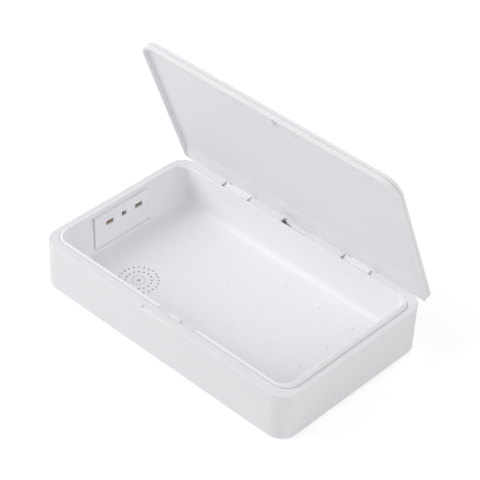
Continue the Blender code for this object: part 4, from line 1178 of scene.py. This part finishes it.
@dataclass
class Lid:
    """The lid's two halves, modelled closed about the hinge axis."""

    bench: Bench
    case: Case
    hinge: Hinge
    catch: Catch
    inset_side: float = 0.0010
    inset_front: float = 0.0050
    inset_back: float = 0.0070
    corner: float = 0.0145
    back_corner: float = 0.0015
    frame_height: float = 0.0041
    rim: float = 0.0025
    panel: float = 0.0010
    frame_edge: float = 0.0004
    frame_fillet: float = 0.0008
    ramp: float = 0.0150
    back_rim: float = 0.0004
    skirt_rise: float = 0.0007
    skirt_reach: float = 0.0024
    skirt_thick: float = 0.0010
    skirt_edge: float = 0.0002
    cover_height: float = 0.0030
    cover_wall: float = 0.0020
    cover_skin: float = 0.0012
    cover_edge: float = 0.0002
    cover_edge_steps: int = 3
    cover_rounding: float = 0.0012
    cover_rounding_steps: int = 8
    lug_back: float = 0.0026
    lug_into_lid: float = 0.0012
    boss_place: float = 0.0070
    boss_from_front: float = 0.0075
    boss_radius: float = 0.0023
    boss_height: float = 0.0020
    boss_edge: float = 0.0004
    boss_stretch_share: float = 1.4
    boss_shift: float = 0.0015
    pocket_radius: float = 0.0014
    pocket_depth: float = 0.0026
    mark_place: float = 0.0282
    mark_from_front: float = 0.0112
    mark_size: Size = (0.0080, 0.0014, 0.0007)
    button_from_front: float = 0.0200
    button_hole: float = 0.0058
    groove: Size = (0.0067, 0.0083, 0.0009)

    def __post_init__(self) -> None:
        """Work out the lid's outline and heights about the hinge axis."""
        setting, plan = self.bench.setting, self.case.plan
        self.hinge_y = setting.hinge.y - setting.middle_y
        self.plan = Plan(plan.left + self.inset_side, plan.right - self.inset_side,
                         plan.front + self.inset_front - self.hinge_y,
                         plan.back - self.inset_back - self.hinge_y, self.corner, self.back_corner)
        self.rim_plane = self.case.deck + GAP - setting.hinge.z
        self.frame_top = self.rim_plane + self.frame_height
        self.panel_under = self.frame_top - self.panel
        self.cover_low = self.frame_top + GAP
        self.top = self.cover_low + self.cover_height
        self.skin_under = self.top - self.cover_skin

    def frame_sections(self) -> Iterator[tuple[Plan, float]]:
        """Outlines from the frame's top, round the rim and in under the panel."""
        outer = self.plan
        inner = replace(outer.grown(-self.rim), back=outer.back - self.back_rim)
        edge, fillet = self.frame_edge, self.frame_fillet
        yield outer, self.frame_top
        for falling, rising in rounding(edge):
            yield outer.grown(-rising), self.rim_plane + falling
        for falling, rising in rounding(edge):
            yield inner.grown(falling), self.rim_plane + rising
        for falling, rising in rounding(fillet):
            height = self.panel_under - falling
            share = (height - self.rim_plane) / (self.panel_under - self.rim_plane)
            yield replace(inner.grown(-rising), back=inner.back - self.ramp * share), height

    def cover_sections(self) -> Iterator[tuple[Plan, float]]:
        """Outlines from the cover's inside, round its edge and over its top."""
        outer = self.plan
        yield outer.grown(-self.cover_wall), self.skin_under
        yield outer.grown(-self.cover_wall), self.cover_low
        for falling, rising in rounding(self.cover_edge, self.cover_edge_steps):
            yield outer.grown(-falling), self.cover_low + rising
        for falling, rising in rounding(self.cover_rounding, self.cover_rounding_steps):
            yield outer.grown(-rising), self.top - falling

    def lug_outline(self) -> list[Point]:
        """Outline of a lug as (y, z) points: an eye round the pin and a root in the lid."""
        radius = self.hinge.lug_radius
        angles = [math.pi * (1 + step / SMALL_TURN_STEPS) for step in range(SMALL_TURN_STEPS + 1)]
        wall = self.plan.back - self.lug_into_lid
        top = self.frame_top - GAP
        root = self.rim_plane + ROOT
        return [(radius * math.cos(angle), radius * math.sin(angle)) for angle in angles] + [
            (self.lug_back, root), (0, top), (wall, top), (wall, root), (-radius, root)]

    def lugs(self) -> Iterator[bpy.types.Object]:
        """A lug at each end of each hinge block."""
        for place in self.hinge.places():
            for direction in (-1, 1):
                near = place + direction * (self.hinge.length / 2 + GAP)
                far = near + direction * self.hinge.lug_thick
                lug = Solid().prism(self.lug_outline(), min(near, far), max(near, far))
                yield lug.piece("lug")

    def boss(self) -> bpy.types.Object:
        """The small boss that holds the magnet."""
        low, high = self.panel_under - self.boss_height, self.panel_under + ROOT
        profile = [(0, low), *((self.boss_radius - falling, low + rising)
                               for falling, rising in rounding(self.boss_edge)),
                   (self.boss_radius, high), (0, high)]
        place = upright(self.boss_place, self.plan.front + self.boss_from_front + self.boss_shift)
        stretch = Matrix.Diagonal((1, self.boss_stretch_share, 1, 1))
        return Solid().turned(profile, place @ stretch, SMALL_TURN_STEPS * 2).piece("boss")

    def skirt(self) -> bpy.types.Object:
        """A thin flange that closes the gap behind the open lid.

        It keeps further from the hinge axis than the case's back edge, so it clears that
        edge at every angle of the lid.
        """
        plan, low = self.plan, self.rim_plane + self.skirt_rise
        return box("skirt", (plan.left + self.back_corner, plan.back - ROOT, low),
                   (plan.right - self.back_corner, plan.back + self.skirt_reach,
                    low + self.skirt_thick), self.skirt_edge)

    def frame_tools(self) -> Iterator[bpy.types.Object]:
        """Bores, the magnet's pocket, the shallow mark and the catch's notch."""
        length = self.hinge.length
        for place in self.hinge.places():
            yield rod("lug_bore", self.hinge.bore, -length, length, lying(place))
        yield rod("magnet_pocket", self.pocket_radius, self.frame_top - self.pocket_depth,
                  self.frame_top + OVERRUN,
                  upright(self.boss_place, self.plan.front + self.boss_from_front))
        length, width, depth = self.mark_size
        y = self.plan.front + self.mark_from_front
        yield box("mark",
                  (self.mark_place - length / 2, y - width / 2, self.panel_under - OVERRUN),
                  (self.mark_place + length / 2, y + width / 2, self.panel_under + depth))
        low, high = self.catch.box(2 * GAP)
        hinge_z = self.bench.setting.hinge.z
        yield box("notch", (low[0], low[1] - self.hinge_y, self.rim_plane - OVERRUN),
                  (high[0], high[1] - self.hinge_y, high[2] - hinge_z))

    def build_frame(self) -> None:
        """Model the inner half."""
        inner = Solid().loft(list(self.frame_sections())).piece("lid_inner")
        shape(inner, Shaping.JOIN, [*self.lugs(), self.boss(), self.skirt()])
        shape(inner, Shaping.CUT, self.frame_tools())
        self.bench.hand_over(inner, Body.LID, "lid_white", "lid_frame")

    def build_cover(self) -> None:
        """Model the outer half."""
        outer = Solid().loft(list(self.cover_sections())).piece("lid_outer")
        place = upright(0, self.plan.front + self.button_from_front)
        high = self.top + OVERRUN
        bore = rod("button_bore", self.button_hole, self.skin_under - OVERRUN, high, place, TURN_STEPS)
        inner, wide, depth = self.groove
        groove = Solid().turned(rod_profile(wide, self.top - depth, high, inner), place, ring=True)
        shape(outer, Shaping.CUT, [bore, groove.piece("ring_groove")])
        self.bench.hand_over(outer, Body.LID, "lid_white", "lid_cover")

    def build(self) -> None:
        """Model both halves."""
        self.build_frame()
        self.build_cover()


@dataclass
class PowerButton:
    """The round button on top of the lid, with its light ring."""

    bench: Bench
    lid: Lid
    radius: float = 0.0054
    stands: float = 0.0005
    rounding: float = 0.0005
    dish: float = 0.0002
    dish_shares: tuple[float, ...] = (0.85, 0.6, 0.3, 0.0)
    flange: float = 0.0011
    flange_thick: float = 0.0005
    ring_inner: float = 0.0070
    ring_width: float = 0.0010
    ring_sink: float = 0.0006
    ring_stands: float = 0.0001
    ring_edge: float = 0.0002

    def build(self) -> None:
        """Model the button and the ring round it."""
        lid = self.lid
        place = upright(0, lid.plan.front + lid.button_from_front)
        flange_top = lid.skin_under - GAP
        wide = self.radius + self.flange
        crown = lid.top + self.stands
        profile = [(0, flange_top - self.flange_thick), (wide, flange_top - self.flange_thick),
                   (wide, flange_top), (self.radius, flange_top)]
        profile += [(self.radius - rising, crown - falling)
                    for falling, rising in rounding(self.rounding)]
        rim = self.radius - self.rounding
        profile += [(rim * share, crown - self.dish * (1 - share * share))
                    for share in self.dish_shares]
        button = Solid().turned(profile, place).piece("button_cap")
        self.bench.hand_over(button, Body.BUTTON, "button_grey", "power_button")

        inner, outer, edge = self.ring_inner, self.ring_inner + self.ring_width, self.ring_edge
        low, high = lid.top - self.ring_sink, lid.top + self.ring_stands
        profile = [(inner, low), (outer, low)]
        profile += [(outer - rising, high - falling) for falling, rising in rounding(edge)]
        profile += [(inner + falling, high - rising) for falling, rising in rounding(edge)]
        ring = Solid().turned(profile, place, ring=True).piece("light_ring")
        self.bench.hand_over(ring, Body.LID, "ring_clear", "button_ring")


class KeptNodes:
    """Nodes whose own shape stays, each with a better finish."""

    SLOTS = {
        "shell_white": ("bottom_cover", "aroma_cap"),
        "board_green": ("main_board", "socket_board", "uv_board", "button_board"),
        "steel": ("hinge_pin_left", "hinge_pin_right", "base_magnet", "lid_magnet",
                  "screw_1", "screw_2", "screw_3", "screw_4"),
        "socket_black": ("lid_sensor",),
        "pad_white": ("aroma_pad",),
        "lamp_yellow": ("uv_led_1", "uv_led_2", "uv_led_3", "uv_led_4"),
    }

    def build(self, bench: Bench) -> None:
        """Dress every kept node."""
        for slot, nodes in self.SLOTS.items():
            bench.keep(slot, *nodes)


@dataclass
class Studio:
    """Floor, lamps, background and camera."""

    target: Vector = field(default_factory=lambda: Vector((-0.013241, 0.020507, 0.048402)))
    azimuth: float = math.radians(41.860)
    elevation: float = math.radians(38.859)
    roll: float = math.radians(2.695)
    distance: float = 1.47018
    focal_pixels: float = 1962.84
    floor_size: float = 12.0
    floor_drop: float = 0.0002
    floor_white: float = 0.90
    floor_cloud: float = 0.4
    floor_cloud_share: float = 0.002
    floor_lift: float = 0.36
    dome_strength: float = 0.42
    lamp_size: float = 1.1
    lamp_distance: float = 1.6
    lamps: tuple = (("left_lamp", (-0.62, -0.55, 0.56), 14.2),
                    ("right_lamp", (0.86, -0.1, 0.5), 6.4),
                    ("back_lamp", (0.0, 0.75, 0.66), 4.0))

    def floor(self) -> None:
        """A pale floor that keeps the shadow and runs out into white."""
        solid = Solid()
        bmesh.ops.create_grid(solid.bm, x_segments=1, y_segments=1, size=self.floor_size / 2)
        bmesh.ops.translate(solid.bm, vec=(0, 0, -self.floor_drop), verts=solid.bm.verts)
        floor = solid.piece("studio_floor")
        paint = Paint("studio_floor")
        tree = paint.tree
        tree.nodes.remove(paint.shader)
        clouds = paint.noise(self.floor_cloud)
        white = (self.floor_white,) * 3
        matt = paint.node("ShaderNodeBsdfDiffuse", None,
                          {"Color": paint.mixed(clouds, white, shaded(white, -self.floor_cloud_share))})
        seen = paint.node("ShaderNodeLightPath", output=CAMERA_RAY)
        lift = paint.node("ShaderNodeEmission", None, {"Strength": seen * self.floor_lift})
        both = paint.node("ShaderNodeAddShader", None, {0: matt, 1: lift})
        paint.feed(tree.nodes["Material Output"].inputs["Surface"], both)
        floor.data.materials.append(paint.material)

    def background(self) -> None:
        """A soft white dome, plain white where it is seen or mirrored."""
        world = bpy.data.worlds.new("studio")
        bpy.context.scene.world = world
        world.use_nodes = True
        paint = Paint("studio", world.node_tree)
        world.node_tree.nodes.clear()
        camera, glossy, through = (paint.node("ShaderNodeLightPath", output=ray)
                                   for ray in (CAMERA_RAY, GLOSSY_RAY, TRANSMISSION_RAY))
        seen = camera.larger(glossy).larger(through)
        dome = paint.node("ShaderNodeBackground", None,
                          {"Color": WHITE_LIGHT, "Strength": self.dome_strength})
        white = paint.node("ShaderNodeBackground", None, {"Color": WHITE_LIGHT, "Strength": 1.0})
        both = paint.node("ShaderNodeMixShader", None, {0: seen, 1: dome, 2: white})
        output = world.node_tree.nodes.new("ShaderNodeOutputWorld")
        paint.feed(output.inputs["Surface"], both)

    def stand(self, data: bpy.types.ID, way: Vector, distance: float,
              roll: float = 0.0) -> bpy.types.Object:
        """Stand a lamp or a camera off from the target, so that it looks at it.

        Args:
            data: The lamp or camera.
            way: Direction from the target, of length one.
            distance: How far off it stands.
            roll: Its turn about its own line of sight.

        Returns:
            The object that stands there.
        """
        made = bpy.data.objects.new(data.name, data)
        made.location = self.target + way * distance
        made.rotation_mode = "QUATERNION"
        made.rotation_quaternion = (-way).to_track_quat("-Z", "Y") @ Quaternion((0, 0, 1), roll)
        bpy.context.scene.collection.objects.link(made)
        return made

    def lamp(self, name: str, way: Sequence[float], power: float) -> None:
        """A square soft lamp that looks at the box from one way."""
        light = bpy.data.lights.new(name, "AREA")
        light.shape = "SQUARE"
        light.size = self.lamp_size
        light.energy = power
        self.stand(light, Vector(way).normalized(), self.lamp_distance)

    def camera(self) -> None:
        """The photograph's camera: it looks at the target from an azimuth and elevation."""
        back = Vector((math.sin(self.azimuth) * math.cos(self.elevation),
                       -math.cos(self.azimuth) * math.cos(self.elevation),
                       math.sin(self.elevation)))
        data = bpy.data.cameras.new("photo_camera")
        data.sensor_width = SENSOR_WIDTH
        data.lens = self.focal_pixels * SENSOR_WIDTH / PHOTO_PIXELS
        bpy.context.scene.camera = self.stand(data, back, self.distance, self.roll)

    def build(self) -> None:
        """Set the whole studio up."""
        self.floor()
        self.background()
        for name, way, power in self.lamps:
            self.lamp(name, way, power)
        self.camera()
        bpy.context.scene.view_settings.view_transform = "Standard"


def main() -> None:
    """Build every sub-assembly in order."""
    logging.basicConfig(level=logging.INFO, format="%(name)s: %(message)s")
    bench = Bench(Setting.read(), Finishes())
    case = Case(bench)
    tray = Tray(bench, case)
    catch = Catch(bench, case)
    panel = SocketPanel(bench, case)
    hinge = Hinge(bench, case)
    inlet = Inlet(bench, case)
    lid = Lid(bench, case, hinge, catch)
    case.build(catch, hinge, inlet)
    tray.build(catch, panel)
    catch.build()
    panel.build(tray)
    hinge.build()
    inlet.build()
    Feet(bench).build()
    lid.build()
    PowerButton(bench, lid).build()
    KeptNodes().build(bench)
    Studio().build()


if __name__ == "__main__":
    main()
